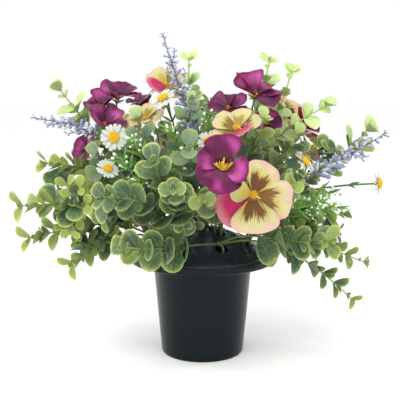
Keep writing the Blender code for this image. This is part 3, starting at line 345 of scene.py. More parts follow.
# Leafy bushes: the lid hole, the fork, then for each stem its tip, the way it leaves the fork, the way its
# tip points, pairs of leaves, leaf length at the foot and at the tip, width to length, and how far along
# the first pair grows
BUSHES = {
    "eucalyptus_front": ("front_right", (17, -58, 147), (
        ((-84, -126, 156), (-0.85, -0.5, 0.1), (-0.95, -0.15, 0.15), 7, 32, 21, 0.95, 0.36),
        ((168, -92, 88), (0.8, -0.35, 0.3), (0.75, -0.1, -0.7), 7, 28, 12, 0.66, 0.3),
        ((136, -122, 160), (0.55, -0.6, 0.5), (0.7, -0.6, 0.2), 5, 31, 20, 0.88, 0.4),
    )),
    "eucalyptus_right": ("right_front", (60, -26, 148), (
        ((185, -70, 126), (0.7, -0.2, 0.6), (0.92, -0.1, -0.25), 6, 29, 14, 0.8, 0.32),
        ((166, -38, 176), (0.5, -0.2, 0.8), (0.9, 0.0, 0.1), 5, 25, 14, 0.7, 0.4),
        ((172, 42, 138), (0.75, 0.2, 0.5), (0.9, 0.2, -0.3), 5, 29, 15, 0.82, 0.32),
    )),
    "eucalyptus_front_left": ("front_left", (-24, -58, 148), (
        ((-30, -152, 222), (0.0, -0.6, 0.75), (-0.1, -0.95, 0.25), 6, 28, 15, 0.95, 0.4),
        ((-106, -130, 211), (-0.3, -0.5, 0.8), (-0.95, -0.2, 0.05), 7, 31, 20, 0.9, 0.36),
        ((-52, -128, 248), (-0.1, -0.3, 0.9), (-0.25, -0.45, 0.85), 5, 28, 23, 0.78, 0.5),
    )),
    "eucalyptus_left": ("left_front", (-60, -26, 148), (
        ((-201, -50, 150), (-0.8, -0.2, 0.5), (-0.97, -0.05, -0.2), 8, 30, 19, 0.78, 0.3),
        ((-205, -72, 191), (-0.6, -0.3, 0.7), (-0.97, -0.05, -0.1), 8, 31, 20, 0.84, 0.3),
        ((-150, -62, 122), (-0.8, -0.35, 0.25), (-0.75, -0.2, -0.6), 6, 29, 18, 0.7, 0.35),
    )),
    "eucalyptus_left_back": ("left_back", (-62, 28, 148), (
        ((-180, -46, 237), (-0.5, -0.2, 0.85), (-0.97, -0.1, 0.05), 8, 27, 18, 0.78, 0.34),
        ((-170, 4, 320), (-0.4, 0.1, 0.9), (-0.6, 0.0, 0.8), 5, 23, 14, 0.72, 0.5),
        ((-166, 78, 166), (-0.7, 0.5, 0.5), (-0.9, 0.3, -0.2), 5, 29, 16, 0.78, 0.32),
    )),
    "eucalyptus_centre_left": ("inner_front_left", (-24, -24, 164), (
        ((-72, -80, 290), (-0.3, -0.4, 0.85), (-0.2, -0.3, 0.9), 5, 27, 19, 0.72, 0.45),
        ((-12, -68, 313), (0.05, -0.3, 0.95), (0.0, -0.2, 0.98), 5, 24, 17, 0.62, 0.45),
        ((-14, -120, 262), (0.0, -0.55, 0.8), (0.0, -0.7, 0.7), 5, 27, 20, 0.8, 0.45),
        ((-118, -72, 250), (-0.6, -0.3, 0.75), (-0.8, -0.2, 0.5), 5, 27, 18, 0.75, 0.42),
    )),
    "eucalyptus_centre_right": ("inner_front_right", (24, -26, 164), (
        ((66, -94, 292), (0.15, -0.35, 0.9), (0.2, -0.3, 0.9), 5, 27, 18, 0.66, 0.42),
        ((108, -60, 270), (0.4, -0.2, 0.85), (0.5, -0.25, 0.8), 5, 28, 19, 0.66, 0.42),
        ((94, -120, 224), (0.4, -0.5, 0.75), (0.25, -0.9, 0.3), 4, 26, 14, 0.95, 0.5),
        ((0, -140, 208), (-0.05, -0.7, 0.6), (-0.3, -0.9, 0.2), 4, 26, 16, 0.95, 0.45),
    )),
    "eucalyptus_right_back": ("right_back", (62, 28, 148), (
        ((196, -8, 273), (0.5, 0.05, 0.85), (0.65, -0.05, 0.75), 6, 25, 16, 0.72, 0.4),
        ((152, 88, 214), (0.6, 0.5, 0.7), (0.8, 0.3, 0.4), 5, 29, 18, 0.8, 0.34),
        ((128, 70, 284), (0.35, 0.3, 0.9), (0.5, 0.2, 0.85), 4, 26, 18, 0.72, 0.45),
    )),
    "eucalyptus_back": ("back_left", (-16, 64, 150), (
        ((74, 142, 186), (0.4, 0.7, 0.5), (0.7, 0.6, -0.1), 5, 31, 19, 0.84, 0.34),
        ((2, 165, 218), (0.0, 0.6, 0.8), (0.1, 0.9, 0.3), 5, 31, 19, 0.86, 0.36),
        ((-84, 142, 178), (-0.45, 0.7, 0.5), (-0.7, 0.6, -0.1), 4, 31, 19, 0.84, 0.34),
        ((-58, 112, 286), (-0.2, 0.35, 0.9), (-0.3, 0.35, 0.9), 4, 27, 18, 0.72, 0.4),
        ((12, 92, 300), (0.15, 0.2, 0.95), (0.15, 0.25, 0.95), 4, 27, 18, 0.7, 0.42),
        ((-118, 96, 232), (-0.55, 0.4, 0.75), (-0.85, 0.2, 0.45), 4, 28, 17, 0.78, 0.38),
    )),
    "light_sprigs": ("inner_back_right", (22, 20, 176), (
        ((79, 4, 354), (0.15, -0.05, 0.98), (0.1, 0.0, 1.0), 4, 15, 11, 0.7, 0.62),
        ((106, 6, 341), (0.3, -0.05, 0.95), (0.2, 0.0, 0.98), 4, 16, 11, 0.62, 0.6),
        ((146, -18, 302), (0.5, -0.1, 0.85), (0.8, -0.1, 0.45), 5, 20, 12, 0.62, 0.5),
        ((-16, 4, 356), (-0.1, -0.05, 0.98), (0.1, 0.0, 1.0), 4, 16, 12, 0.7, 0.6),
    )),
}

# Lavender: the lid hole, the fork, where the flowers begin, the tip
LAVENDER = {
    "lavender_top": ("inner_back_left", (-18, 14, 175), (-19, -30, 300), (-46, -12, 382)),
    "lavender_left": ("left_front", (-60, -14, 160), (-122, -48, 268), (-198, -12, 286)),
    "lavender_right": ("right_front", (64, -14, 160), (128, -46, 224), (215, -12, 268)),
    "lavender_middle": ("centre", (-6, -6, 180), (-12, -64, 262), (-16, -50, 322)),
}

# Sprays of buds: the lid hole, the fork, and the heads of buds
BUD_SPRAYS = {
    "bud_spray_left": ("front_left", (-30, -50, 160),
                       ((-68, -116, 226), (-88, -108, 250), (-70, -96, 204), (-74, -98, 268))),
    "bud_spray_middle": ("centre", (-4, -14, 182),
                         ((-14, -104, 262), (-34, -96, 282), (6, -78, 292), (-26, -108, 242))),
    "bud_spray_right": ("inner_front_right", (66, -34, 168),
                        ((158, -66, 190), (136, -78, 198), (128, -62, 182), (150, -46, 204))),
}


def lid_height(radius):
    """Height of the top of the lid, or of the bead round the rim past it."""
    if radius > LID_EDGE_R:
        return POT_TOP_Z
    return LID_TOP_Z - LID_DROP * (radius / LID_EDGE_R) ** LID_CURVE


def facing_place(origin, forward, up):
    """A place whose X points forward and whose Z is as near to up as it can be."""
    x = Vector(forward).normalized()
    z = Vector(up) - x * x.dot(Vector(up))
    z.normalize()
    y = z.cross(x)
    place = Matrix((x, y, z)).transposed().to_4x4()
    place.translation = origin
    return place


def bent_path(start, start_way, end, end_way, steps):
    """Points of a smooth curve that leaves one point in one direction and arrives in another."""
    start, end = Vector(start), Vector(end)
    reach = CURVE_REACH * (end - start).length
    near = start + Vector(start_way).normalized() * reach
    far = end - Vector(end_way).normalized() * reach
    points = []
    for step in range(steps + 1):
        t = step / steps
        s = 1.0 - t
        points.append(start * s**3 + near * (3 * s * s * t) + far * (3 * s * t * t) + end * t**3)
    return points


def rings_of(path):
    """For each point of a path, the way ahead and a way across that doesn't twist."""
    rings, across = [], None
    last = len(path) - 1
    for index in range(len(path)):
        ahead = (path[min(index + 1, last)] - path[max(index - 1, 0)]).normalized()
        if across is None:
            across = ahead.orthogonal()
        across = (across - ahead * across.dot(ahead)).normalized()
        rings.append((ahead, across, ahead.cross(across)))
    return rings


def circle(count):
    """The cosine and the sine of evenly spaced turns."""
    turns = [2 * math.pi * number / count for number in range(count)]
    return [(math.cos(turn), math.sin(turn)) for turn in turns]


def tube(path, radii, sides):
    """A closed stem along a path, with a radius at each of its points."""
    verts, faces = [], []
    last = len(path) - 1
    for point, radius, (_, across, other) in zip(path, radii, rings_of(path)):
        verts += [point + (across * y + other * z) * radius for y, z in circle(sides)]
    for index in range(last):
        for side in range(sides):
            a, b = index * sides + side, index * sides + (side + 1) % sides
            faces.append((a, b, b + sides, a + sides))
    faces.append(tuple(reversed(range(sides))))
    faces.append(tuple(range(last * sides, last * sides + sides)))
    return verts, faces


def taper(thick, thin, count):
    """Radii that fall evenly from one end of a stem to the other."""
    return [thick + (thin - thick) * index / (count - 1) for index in range(count)]


def half_width(along, widest, foot, swell):
    """Half width of a blade, 1 at its widest, for a place from 0 at its foot to 1 at its tip."""
    if along < widest:
        return foot + (1.0 - foot) * math.sin(0.5 * math.pi * along / widest) ** swell
    past = (along - widest) / (1.0 - widest)
    return math.sqrt(max(0.0, 1.0 - past * past))


def blade_point(shape, along, across):
    """A point on the middle surface of a blade, for across from -1 to 1."""
    wide = half_width(along, shape["widest"], shape["foot"], shape["swell"]) * across
    x = shape["length"] * along
    y = 0.5 * shape["width"] * wide
    z = shape["length"] * (shape["rise"] * along + shape["bend"] * along * along)
    z += shape["cup"] * shape["width"] * wide * wide + shape["twist"] * y
    return Vector((x, y, z))


def blade(place, shape, grow=0.0):
    """A closed thin blade: a point at its foot, cross rows up to its end, and a keel under its middle."""
    stations, rib = shape["stations"], shape["rib"]
    stretch = 1.0 + 2.0 * grow / shape["width"]
    lift = Vector((0.0, 0.0, grow))
    local = [Vector((shape["start"], 0.0, 0.3)) + lift]
    for station in stations:
        for across in (-stretch, stretch):
            local.append(blade_point(shape, station, across) + lift)
    if shape["tip"]:
        local.append(blade_point(shape, 1.0, 0.0) + lift)
    keel = len(local)
    local.append(blade_point(shape, rib, 0.0) - Vector((0.0, 0.0, shape["thick"] + grow)))
    faces = [(0, 1, 2)]
    last = 2 * len(stations) - 1
    for row in range(1, last, 2):
        faces.append((row, row + 2, row + 3))
        faces.append((row, row + 3, row + 1))
    ring = [0] + list(range(1, last + 1, 2))
    if shape["tip"]:
        faces.append((last, keel - 1, last + 1))
        ring.append(keel - 1)
    ring += list(range(last + 1, 1, -2))
    for index, corner in enumerate(ring):
        faces.append((keel, ring[(index + 1) % len(ring)], corner))
    return [place @ point for point in local], faces


def bud(base, way, length, radius, sides=3, widest=0.45):
    """A small closed bud or floret: a point at each end and a ring between."""
    place = facing_place(base, way, Vector(way).orthogonal())
    local = [Vector((0, 0, 0)), Vector((length, 0, 0))]
    local += [Vector((length * widest, radius * y, radius * z)) for y, z in circle(sides)]
    faces = []
    for side in range(sides):
        a, b = 2 + side, 2 + (side + 1) % sides
        faces.append((0, b, a))
        faces.append((1, a, b))
    return [place @ point for point in local], faces


def star(place, radius, notch, petals, lift, half):
    """A ring of daisy petals: one thin body with a notch between each two petals."""
    local = [Vector((half, 0, 0)), Vector((-half, 0, 0))]
    for petal in range(petals):
        for share, reach in ((0.0, notch), (0.3, radius), (0.74, radius)):
            turn = 2 * math.pi * (petal + share) / petals
            local.append(Vector((lift * reach, reach * math.cos(turn), reach * math.sin(turn))))
    count = 3 * petals
    faces = []
    for index in range(count):
        a, b = 2 + index, 2 + (index + 1) % count
        faces.append((0, a, b))
        faces.append((1, b, a))
    return [place @ point for point in local], faces


def dome(place, radius, height, sides):
    """The eye of a daisy: a flat-bottomed dome."""
    local = [Vector((height * rise, radius * reach * y, radius * reach * z))
             for reach, rise in ((1.0, 0.0), (0.72, 0.72)) for y, z in circle(sides)]
    local.append(Vector((height, 0, 0)))
    faces = [tuple(reversed(range(sides)))]
    for side in range(sides):
        a, b = side, (side + 1) % sides
        faces.append((a, b, b + sides, a + sides))
        faces.append((a + sides, b + sides, 2 * sides))
    return [place @ point for point in local], faces


def leaf_shape(length, ratio, bend, cup):
    """Sizes of a leaf blade."""
    stations = SMALL_LEAF_STATIONS if length < SMALL_LEAF else LEAF_STATIONS
    return dict(length=length, width=length * ratio, rise=0.0, bend=bend, cup=cup, twist=0.0,
                widest=0.6, foot=0.1, swell=1.1, stations=stations, tip=False, rib=0.38,
                thick=LEAF_THICK, start=0.3)


def lance_shape(length, width, bend):
    """Sizes of a narrow leaf."""
    return dict(length=length, width=width, rise=0.0, bend=bend, cup=0.1, twist=0.0,
                widest=0.4, foot=0.25, swell=1.0, stations=(0.45,), tip=True, rib=0.4,
                thick=LANCE_THICK, start=-0.3)


def petal_shape(length, ratio, rise, bend, twist):
    """Sizes of a pansy petal."""
    return dict(length=length, width=length * ratio, rise=rise, bend=bend, cup=0.0, twist=twist,
                widest=0.64, foot=0.14, swell=1.8, stations=PETAL_STATIONS, tip=False, rib=0.42,
                thick=PETAL_THICK, start=1.0)


class Piece:
    """One blade, stem, bud or bloom part of a node, with the values that its shape comes from."""

    def __init__(self, node, kind, mesh, **values):
        self.node, self.kind, self.mesh = node, kind, mesh
        self.__dict__.update(values)


class Planting:
    """Everything planted so far, and the test that a new piece is clear of it."""

    def __init__(self):
        self.pieces, self.trees = [], []
        self.low, self.high = np.zeros((0, 3)), np.zeros((0, 3))
        self.slots = {}

    def blocked(self, mesh, skip=(), node=None, holder=True):
        """Whether a mesh touches a piece, other than those skipped and those of the node."""
        verts, faces = mesh
        points = np.array([tuple(v) for v in verts])
        if holder:
            middles = np.array([points[list(face)].mean(axis=0) for face in faces])
            for x, y, z in np.vstack((points, middles)):
                away = math.hypot(x, y)
                if away < RIM_R + RIM_ROOM and z < lid_height(away) + LID_ROOM:
                    return True
        low, high = points.min(axis=0), points.max(axis=0)
        near = np.nonzero(np.all(self.low <= high, axis=1) & np.all(self.high >= low, axis=1))[0]
        tree = None
        for index in near:
            piece = self.pieces[index]
            if piece.node == node or any(piece is other for other in skip):
                continue
            tree = tree or BVHTree.FromPolygons(verts, faces)
            if tree.overlap(self.trees[index]):
                return True
        return False

    def add(self, piece):
        """Keep a piece."""
        verts, faces = piece.mesh
        points = np.array([tuple(v) for v in verts])
        self.pieces.append(piece)
        self.trees.append(BVHTree.FromPolygons(verts, faces))
        self.low = np.vstack((self.low, points.min(axis=0)))
        self.high = np.vstack((self.high, points.max(axis=0)))
        return piece

    def of(self, node, kind):
        """The pieces of one kind on a node."""
        return [piece for piece in self.pieces if piece.node == node and piece.kind == kind]

    def slot(self, hole):
        """A free place in a lid hole, for one more stem."""
        used = self.slots.get(hole, 0)
        self.slots[hole] = used + 1
        x, y = HOLES[hole]
        turn = math.atan2(y, x) + 2 * math.pi * used / 3
        return x + SLOT_R * math.cos(turn), y + SLOT_R * math.sin(turn)


def pansy_pieces(name, middle):
    """The petals of one pansy round its throat, and its heart where it has a node."""
    _, _, facing, turn, length, rise = PANSIES[name]
    facing = Vector(facing).normalized()
    upright = facing_place(middle, facing, (0, 0, 1)).to_3x3()
    draw = random.Random(name)
    throat = [middle - facing * THROAT_BACK, middle + facing * THROAT_FRONT]
    pieces = [Piece(name, "throat", tube(throat, (THROAT_R, THROAT_R), 5), middle=middle, facing=facing)]
    bend = -0.5 * rise - 0.08
    changes = PETAL_CHANGES.get(name, SAME_PETALS)
    for order, (angle, long, wide, lift, twist) in enumerate(PETALS):
        more_turn, more_length, more_width, more_lift = changes[order]
        around = math.radians(angle + turn + more_turn + draw.uniform(-3, 3))
        way = upright @ Vector((0.0, -math.sin(around), math.cos(around)))
        shape = petal_shape(length * long * more_length * draw.uniform(0.95, 1.03), wide * more_width,
                            rise + lift + more_lift, bend, twist)
        place = facing_place(middle, way, facing)
        pieces.append(Piece(name, "petal", blade(place, shape), place=place, shape=shape, order=order))
    if name in HEARTS:
        base = middle + facing * (THROAT_FRONT + FIT)
        pieces.append(Piece(name.replace("pansy", "heart"), "heart", bud(base, facing, 6.5, 3.0, 5, 0.35),
                            middle=middle, facing=facing))
    return pieces


def daisy_pieces(name, middle):
    """The petal ring and the eye of one daisy."""
    _, facing, radius = DAISIES[name]
    facing = Vector(facing).normalized()
    place = facing_place(middle, facing, (0, 0, 1))
    eye = place @ Matrix.Translation((RAYS_HALF + FIT, 0, 0))
    rays = star(place, radius, RAYS_NOTCH * radius, DAISY_PETALS, RAYS_LIFT, RAYS_HALF)
    return [
        Piece(name + "_petals", "rays", rays, place=place, radius=radius),
        Piece(name + "_eye", "eye", dome(eye, EYE_R * radius, EYE_H * radius, 8), place=eye,
              radius=EYE_R * radius),
    ]


def plant_blooms(bed):
    """Set every bloom, moved along the line of sight where another is in its way."""
    middles = {}
    for name in list(PANSIES) + list(DAISIES):
        maker = pansy_pieces if name in PANSIES else daisy_pieces
        wanted = Vector(PANSIES[name][1] if name in PANSIES else DAISIES[name][0])
        sight = (wanted - VIEWPOINT).normalized()
        for step in range(BLOOM_TRIES):
            shift = BLOOM_STEP * (step // 2) * (1 if step % 2 else -1)
            middle = wanted + sight * shift
            pieces = maker(name, middle)
            if not any(bed.blocked(piece.mesh) for piece in pieces):
                middles[name] = middle
                break
        else:
            raise RuntimeError(f"{name} has no clear place")
        for piece in pieces:
            bed.add(piece)
    return middles


def add_stem(bed, node, path, radii, kind="stem"):
    """Keep a stem."""
    return bed.add(Piece(node, kind, tube(path, radii, STEM_SIDES), path=path, radii=radii))


def plant_trunk(bed, node, hole, fork, radius):
    """The foot of a bush: up out of the block and a lid hole to the fork."""
    x, y = bed.slot(hole)
    top = lid_height(math.hypot(x, y))
    foot_x, foot_y = x * FOOT_SHARE, y * FOOT_SHARE
    feet = [Vector((foot_x, foot_y, STEM_FOOT_Z)), Vector((foot_x, foot_y, FOAM_TOP_Z + 1.0)),
            Vector((x, y, top - 5.0)), Vector((x, y, top + 4.0))]
    draw = random.Random(node)
    for attempt in range(TRUNK_TRIES):
        wander = Vector((draw.uniform(-1, 1), draw.uniform(-1, 1), draw.uniform(-0.3, 0.6)))
        end = Vector(fork) + wander * 1.2 * attempt
        way = end - feet[-1] + Vector((0, 0, 8))
        path = feet + bent_path(feet[-1], feet[-1] - feet[-2], end, way, 2)[1:]
        test = tube(path, [radius + CLEARANCE] * len(path), STEM_SIDES)
        if not bed.blocked(test, holder=False):
            return add_stem(bed, node, path, taper(radius, radius * 0.92, len(path)))
    raise RuntimeError(f"the trunk of {node} has no clear way")


def fork_of(trunk):
    """Where stems leave a trunk: just inside its end."""
    path = trunk.path
    return path[-1] - (path[-1] - path[-2]).normalized() * FORK_DEPTH


def clear_path(bed, node, start, start_way, end, end_way, radii, key):
    """A way for a stem from a fork to its end, bent clear of what is there."""
    draw = random.Random(node + key)
    steps = len(radii) - 1
    for attempt in range(STEM_TRIES):
        spread = 0.03 * attempt
        first = Vector(start_way).normalized() + Vector([draw.uniform(-spread, spread) for _ in range(3)])
        last = Vector(end_way).normalized()
        if attempt > 12:
            last += Vector([draw.uniform(-spread, spread) for _ in range(3)]) * 0.4
        path = bent_path(start, first, end, last, steps)
        test = tube(path, [radius + CLEARANCE for radius in radii], STEM_SIDES)
        if not bed.blocked(test, node=node):
            return path
    raise RuntimeError(f"a stem of {node} to {key} has no clear way")


def plant_stem(bed, node, start, start_way, end, end_way, radii, key):
    """A stem from a fork to its end."""
    path = clear_path(bed, node, start, start_way, end, end_way, radii, key)
    return add_stem(bed, node, path, radii)


def light_at(point):
    """The way that leaves turn to at a point: outwards, and to the front where they are seen from there."""
    outward = (point - CROWN).normalized()
    return outward + FRONT_LIGHT if point.y < CROWN.y else outward


def plant_blade(bed, node, stem, share, turn, tilt, shape, partners, kind):
    """One leaf on a stem, in the first attitude that is clear."""
    point, ahead, across, other = along(stem, share)
    light = light_at(point) * LIGHT_PULL
    for scale in LEAF_SCALES:
        for more_turn, more_tilt in LEAF_TRIES:
            angle = math.radians(turn + more_turn)
            lean = math.radians(tilt + more_tilt)
            out = across * math.cos(angle) + other * math.sin(angle)
            way = out * math.cos(lean) + ahead * math.sin(lean)
            face = ahead * math.cos(lean) - out * math.sin(lean) + light
            size = dict(shape, length=shape["length"] * scale, width=shape["width"] * scale)
            place = facing_place(point, way, face)
            if not bed.blocked(blade(place, size, CLEARANCE), skip=(stem, *partners)):
                return bed.add(Piece(node, kind, blade(place, size), place=place, shape=size,
                                          share=share))
    return None


def along(stem, share):
    """A point at a share of the way along a stem, the way ahead there and two ways across."""
    path = stem.path
    at = share * (len(path) - 1)
    index = min(int(at), len(path) - 2)
    point = path[index].lerp(path[index + 1], at - index)
    ahead = (path[index + 1] - path[index]).normalized()
    across = rings_of(path)[index][1]
    across = (across - ahead * across.dot(ahead)).normalized()
    return point, ahead, across, ahead.cross(across)


def outward(stem, share, angle):
    """A point at a share of the way along a stem, the way ahead there and a way out at an angle round it."""
    point, ahead, across, other = along(stem, share)
    return point, ahead, across * math.cos(angle) + other * math.sin(angle)


def plant_pair(bed, node, stem, share, turn, tilt, shapes, kind):
    """Two leaves on opposite sides of a stem."""
    partners = []
    for side, shape in zip((0, 180), shapes):
        leaf = plant_blade(bed, node, stem, share, turn + side, tilt, shape, partners, kind)
        if leaf:
            partners.append(leaf)


def plant_bush(bed, node):
    """A leafy bush: a trunk, its stems and their pairs of leaves."""
    hole, fork, stems = BUSHES[node]
    light = node == "light_sprigs"
    thick = 1.3 if light else 1.6
    start = fork_of(plant_trunk(bed, node, hole, fork, thick + 0.3))
    draw = random.Random(node + " leaves")
    for number, (tip, start_way, end_way, pairs, big, small, ratio, first) in enumerate(stems):
        radii = taper(thick, 1.0, 6)
        stem = plant_stem(bed, node, start, start_way, tip, end_way, radii, f"tip {number}")
        for pair in range(pairs):
            share = first + (0.98 - first) * pair / (pairs - 1)
            length = big + (small - big) * pair / (pairs - 1)
            shapes = [leaf_shape(length * draw.uniform(0.92, 1.08), ratio, draw.uniform(-0.1, 0.06),
                                 draw.uniform(0.05, 0.12)) for _ in range(2)]
            plant_pair(bed, node, stem, share, 45 + 90 * pair + draw.uniform(-8, 8),
                       draw.uniform(22, 44), shapes, "leaf")


def plant_bloom_stems(bed, node, middles):
    """The green stems of several blooms, each widening to a calyx under its bloom."""
    hole, fork, blooms = BLOOM_STEMS[node]
    daisies = node.startswith("daisy")
    start = fork_of(plant_trunk(bed, node, hole, fork, 1.7))
    draw = random.Random(node + " leaves")
    for name in blooms:
        facing = Vector(DAISIES[name][1] if daisies else PANSIES[name][2]).normalized()
        end = middles[name] - facing * ((RAYS_HALF if daisies else THROAT_BACK) + FIT)
        neck = end - facing * CALYX_H
        way = (neck - start).normalized() + Vector((0, 0, 0.8))
        radii = taper(1.3, 1.1, 5)
        path = clear_path(bed, node, start, way, neck, facing, radii, name)
        stem = add_stem(bed, node, path + [end], radii + [CALYX_R])
        if daisies:
            for number, share in enumerate((0.5, 0.66)):
                shapes = [lance_shape(draw.uniform(14, 19), 4.0, 0.1) for _ in range(2)]
                plant_pair(bed, node, stem, share, 45 + 90 * number, 50, shapes, "lance")


def plant_lavender(bed, node):
    """A spike of lavender: whorls of florets up a thin stem."""
    hole, fork, low, tip = LAVENDER[node]
    low, tip = Vector(low), Vector(tip)
    start = fork_of(plant_trunk(bed, node, hole, fork, 1.5))
    way = (tip - low).normalized()
    rising = Vector((0, 0, 1)) + (low - start).normalized()
    plant_stem(bed, node, start, rising, low, way, taper(1.2, 1.1, 5), "its flowers")
    sag = 0.5 * (low + tip) + Vector((0, 0, -2.5))
    spike = plant_stem(bed, node, low - way * 1.5, way, tip, tip - sag, taper(1.1, 0.6, 4), "its tip")
    draw = random.Random(node + " florets")
    whorls = int((tip - low).length / FLORET_STEP)
    for whorl in range(whorls):
        share = 0.03 + 0.93 * whorl / (whorls - 1)
        for side in range(3 if share < 0.7 else 2):
            angle = math.radians(60 + 120 * side + 60 * whorl + draw.uniform(-20, 20))
            point, ahead, out = outward(spike, share, angle)
            out = out + ahead * draw.uniform(0.4, 0.9)
            length = (1.0 - 0.4 * share) * FLORET_LONG * draw.uniform(0.85, 1.2)
            radius = (1.0 - 0.4 * share) * FLORET_R
            if not bed.blocked(bud(point, out, length + 1, radius + CLEARANCE), node=node):
                bed.add(Piece(node, "floret", bud(point, out, length, radius, 3, 0.6),
                                   base=point, way=out, length=length, radius=radius, share=share))


def plant_bud(bed, node, base, way, length, radius, test_widest, test_radius):
    """One bud, where a longer one of the test's shape is clear."""
    if not bed.blocked(bud(base, way, length + 1, test_radius, 3, test_widest), node=node):
        bed.add(Piece(node, "bud", bud(base, way, length, radius, 3, 0.78),
                           base=base, way=way, length=length))


def plant_bud_spray(bed, node):
    """A spray of small buds: a stem to each head, lance leaves under it and drop-shaped buds."""
    hole, fork, heads = BUD_SPRAYS[node]
    start = fork_of(plant_trunk(bed, node, hole, fork, 1.6))
    draw = random.Random(node + " buds")
    for number, head in enumerate(heads):
        head = Vector(head)
        straight = (head - start).normalized()
        stem = plant_stem(bed, node, start, straight + Vector((0, 0, 0.5)), head,
                          straight + Vector((0, -0.2, 0.3)), taper(1.2, 0.9, 5), f"head {number}")
        shapes = [lance_shape(draw.uniform(17, 23), 4.4, draw.uniform(-0.1, 0.2)) for _ in range(2)]
        plant_pair(bed, node, stem, 0.84, draw.uniform(0, 360), 48, shapes, "lance")
        for number in range(HEAD_BUDS):
            angle = math.radians(360 * number / HEAD_BUDS + draw.uniform(-15, 15))
            point, ahead, out = outward(stem, 0.9 + 0.045 * (number % 3), angle)
            plant_bud(bed, node, point, out * 0.9 + ahead, draw.uniform(11, 16), BUD_R, 0.75,
                      BUD_R + CLEARANCE)


def plant_everything():
    """The whole planting, in the order in which pieces make room for each other."""
    bed = Planting()
    middles = plant_blooms(bed)
    for node in BLOOM_STEMS:
        plant_bloom_stems(bed, node, middles)
    for node in LAVENDER:
        plant_lavender(bed, node)
    for node in BUSHES:
        plant_bush(bed, node)
    for node in BUD_SPRAYS:
        plant_bud_spray(bed, node)
    return bed


@cache
def planting():
    """The planting, with the twigs, small leaves and florets that the solids leave out."""
    bed = plant_everything()
    for node in LAVENDER:
        plant_side_spikes(bed, node)
    for node in BUD_SPRAYS:
        plant_small_buds(bed, node)
    for node in BUSHES:
        plant_sprouts(bed, node)
    plant_twigs(bed)
    return bed


def plant_sprouts(bed, node):
    """The smallest leaves of a bush: at the tips of its stems and between the large pairs."""
    draw = random.Random(node + " sprouts")
    for stem in bed.of(node, "stem")[1:]:
        for share in (0.99, 0.94, 0.84, 0.75, 0.66, 0.57, 0.48, 0.4):
            if shows_lid(along(stem, share)[0]):
                continue
            length = SPROUT * draw.uniform(0.8, 1.2) * (0.8 if share > 0.9 else 1.7)
            shapes = [leaf_shape(length, 0.7, -0.06, 0.1)] * 2
            plant_pair(bed, node, stem, share, draw.uniform(0, 360), draw.uniform(30, 55), shapes, "leaf")


def plant_twigs(bed):
    """Leafy twigs that grow from the bushes' stems into the bare space between and behind the blooms."""
    draw = random.Random("twigs")
    verts, faces = [], []
    for piece in bed.pieces:
        if piece.kind in ("petal", "rays", "eye", "floret"):
            faces += [[index + len(verts) for index in face] for face in piece.mesh[1]]
            verts += piece.mesh[0]
    blooms = BVHTree.FromPolygons(verts, faces)
    knots = [(stem, share) for stem in bed.pieces
             if stem.kind == "stem" and stem.node in BUSHES and stem.node != "light_sprigs"
             for share in (0.3, 0.42, 0.54, 0.66, 0.78, 0.9)]
    spots = [along(stem, share)[0] for stem, share in knots]
    for middle, half, tries, leaf in FILLS:
        for attempt in range(tries):
            wish = Vector([draw.uniform(-1, 1) for _ in range(3)])
            seed = draw.uniform(0, 1000)
            end = Vector([place + share * size for place, share, size in zip(middle, wish, half)])
            gaps = [(end - spot).length for spot in spots]
            near = gaps.index(min(gaps))
            fits = 0.35 < wish.length < 1.0 and TWIG_REACH[0] < gaps[near] < TWIG_REACH[1]
            if fits and not shows_lid(end) and not hides(blooms, end):
                plant_twig(bed, blooms, *knots[near], end, leaf, f"twig {seed:.3f}")


def shows_lid(point):
    """Whether a point stands before the part of the lid that is seen from the front."""
    low, high, level = LID_WINDOW
    share = (level - VIEWPOINT.z) / min(point.z - VIEWPOINT.z, -1.0)
    seen = VIEWPOINT + (point - VIEWPOINT) * share
    return share > 0.9 and low[0] < seen.x < high[0] and low[1] < seen.y < high[1]


def hides(blooms, point):
    """Whether something at a point would stand before a bloom."""
    sight = (point - VIEWPOINT).normalized()
    before, reach = HIDING_REACH
    return blooms.ray_cast(point - sight * before, sight, reach)[0] is not None


def plant_twig(bed, blooms, stem, share, end, leaf, key):
    """One leafy twig from a stem to a point."""
    start, ahead = along(stem, share)[:2]
    straight = (end - start).normalized()
    path = bent_path(start, straight + ahead, end, straight + light_at(end) * 0.4, 4)
    if bed.blocked(tube(path, [1.0] * 5, STEM_SIDES), node=stem.node):
        return
    twig = add_stem(bed, stem.node, path, taper(0.8, 0.5, 5), "twig")
    draw = random.Random(key)
    length = draw.uniform(*leaf)
    pairs = max(2, int((end - start).length / (0.55 * length)))
    for pair in range(pairs):
        long = length * (1.05 - 0.4 * pair / (pairs - 1))
        shapes = [leaf_shape(long * draw.uniform(0.9, 1.1), draw.uniform(0.64, 0.84),
                             draw.uniform(-0.1, 0.06), draw.uniform(0.05, 0.12)) for _ in range(2)]
        first = len(bed.pieces)
        plant_pair(bed, stem.node, twig, 0.3 + 0.68 * pair / (pairs - 1),
                   45 + 90 * pair + draw.uniform(-12, 12), draw.uniform(22, 48), shapes, "leaf")
        for piece in bed.pieces[first:]:
            middle = piece.place @ Vector((0.6 * piece.shape["length"], 0, 0))
            if hides(blooms, middle) or shows_lid(middle):
                piece.kind = "left out"


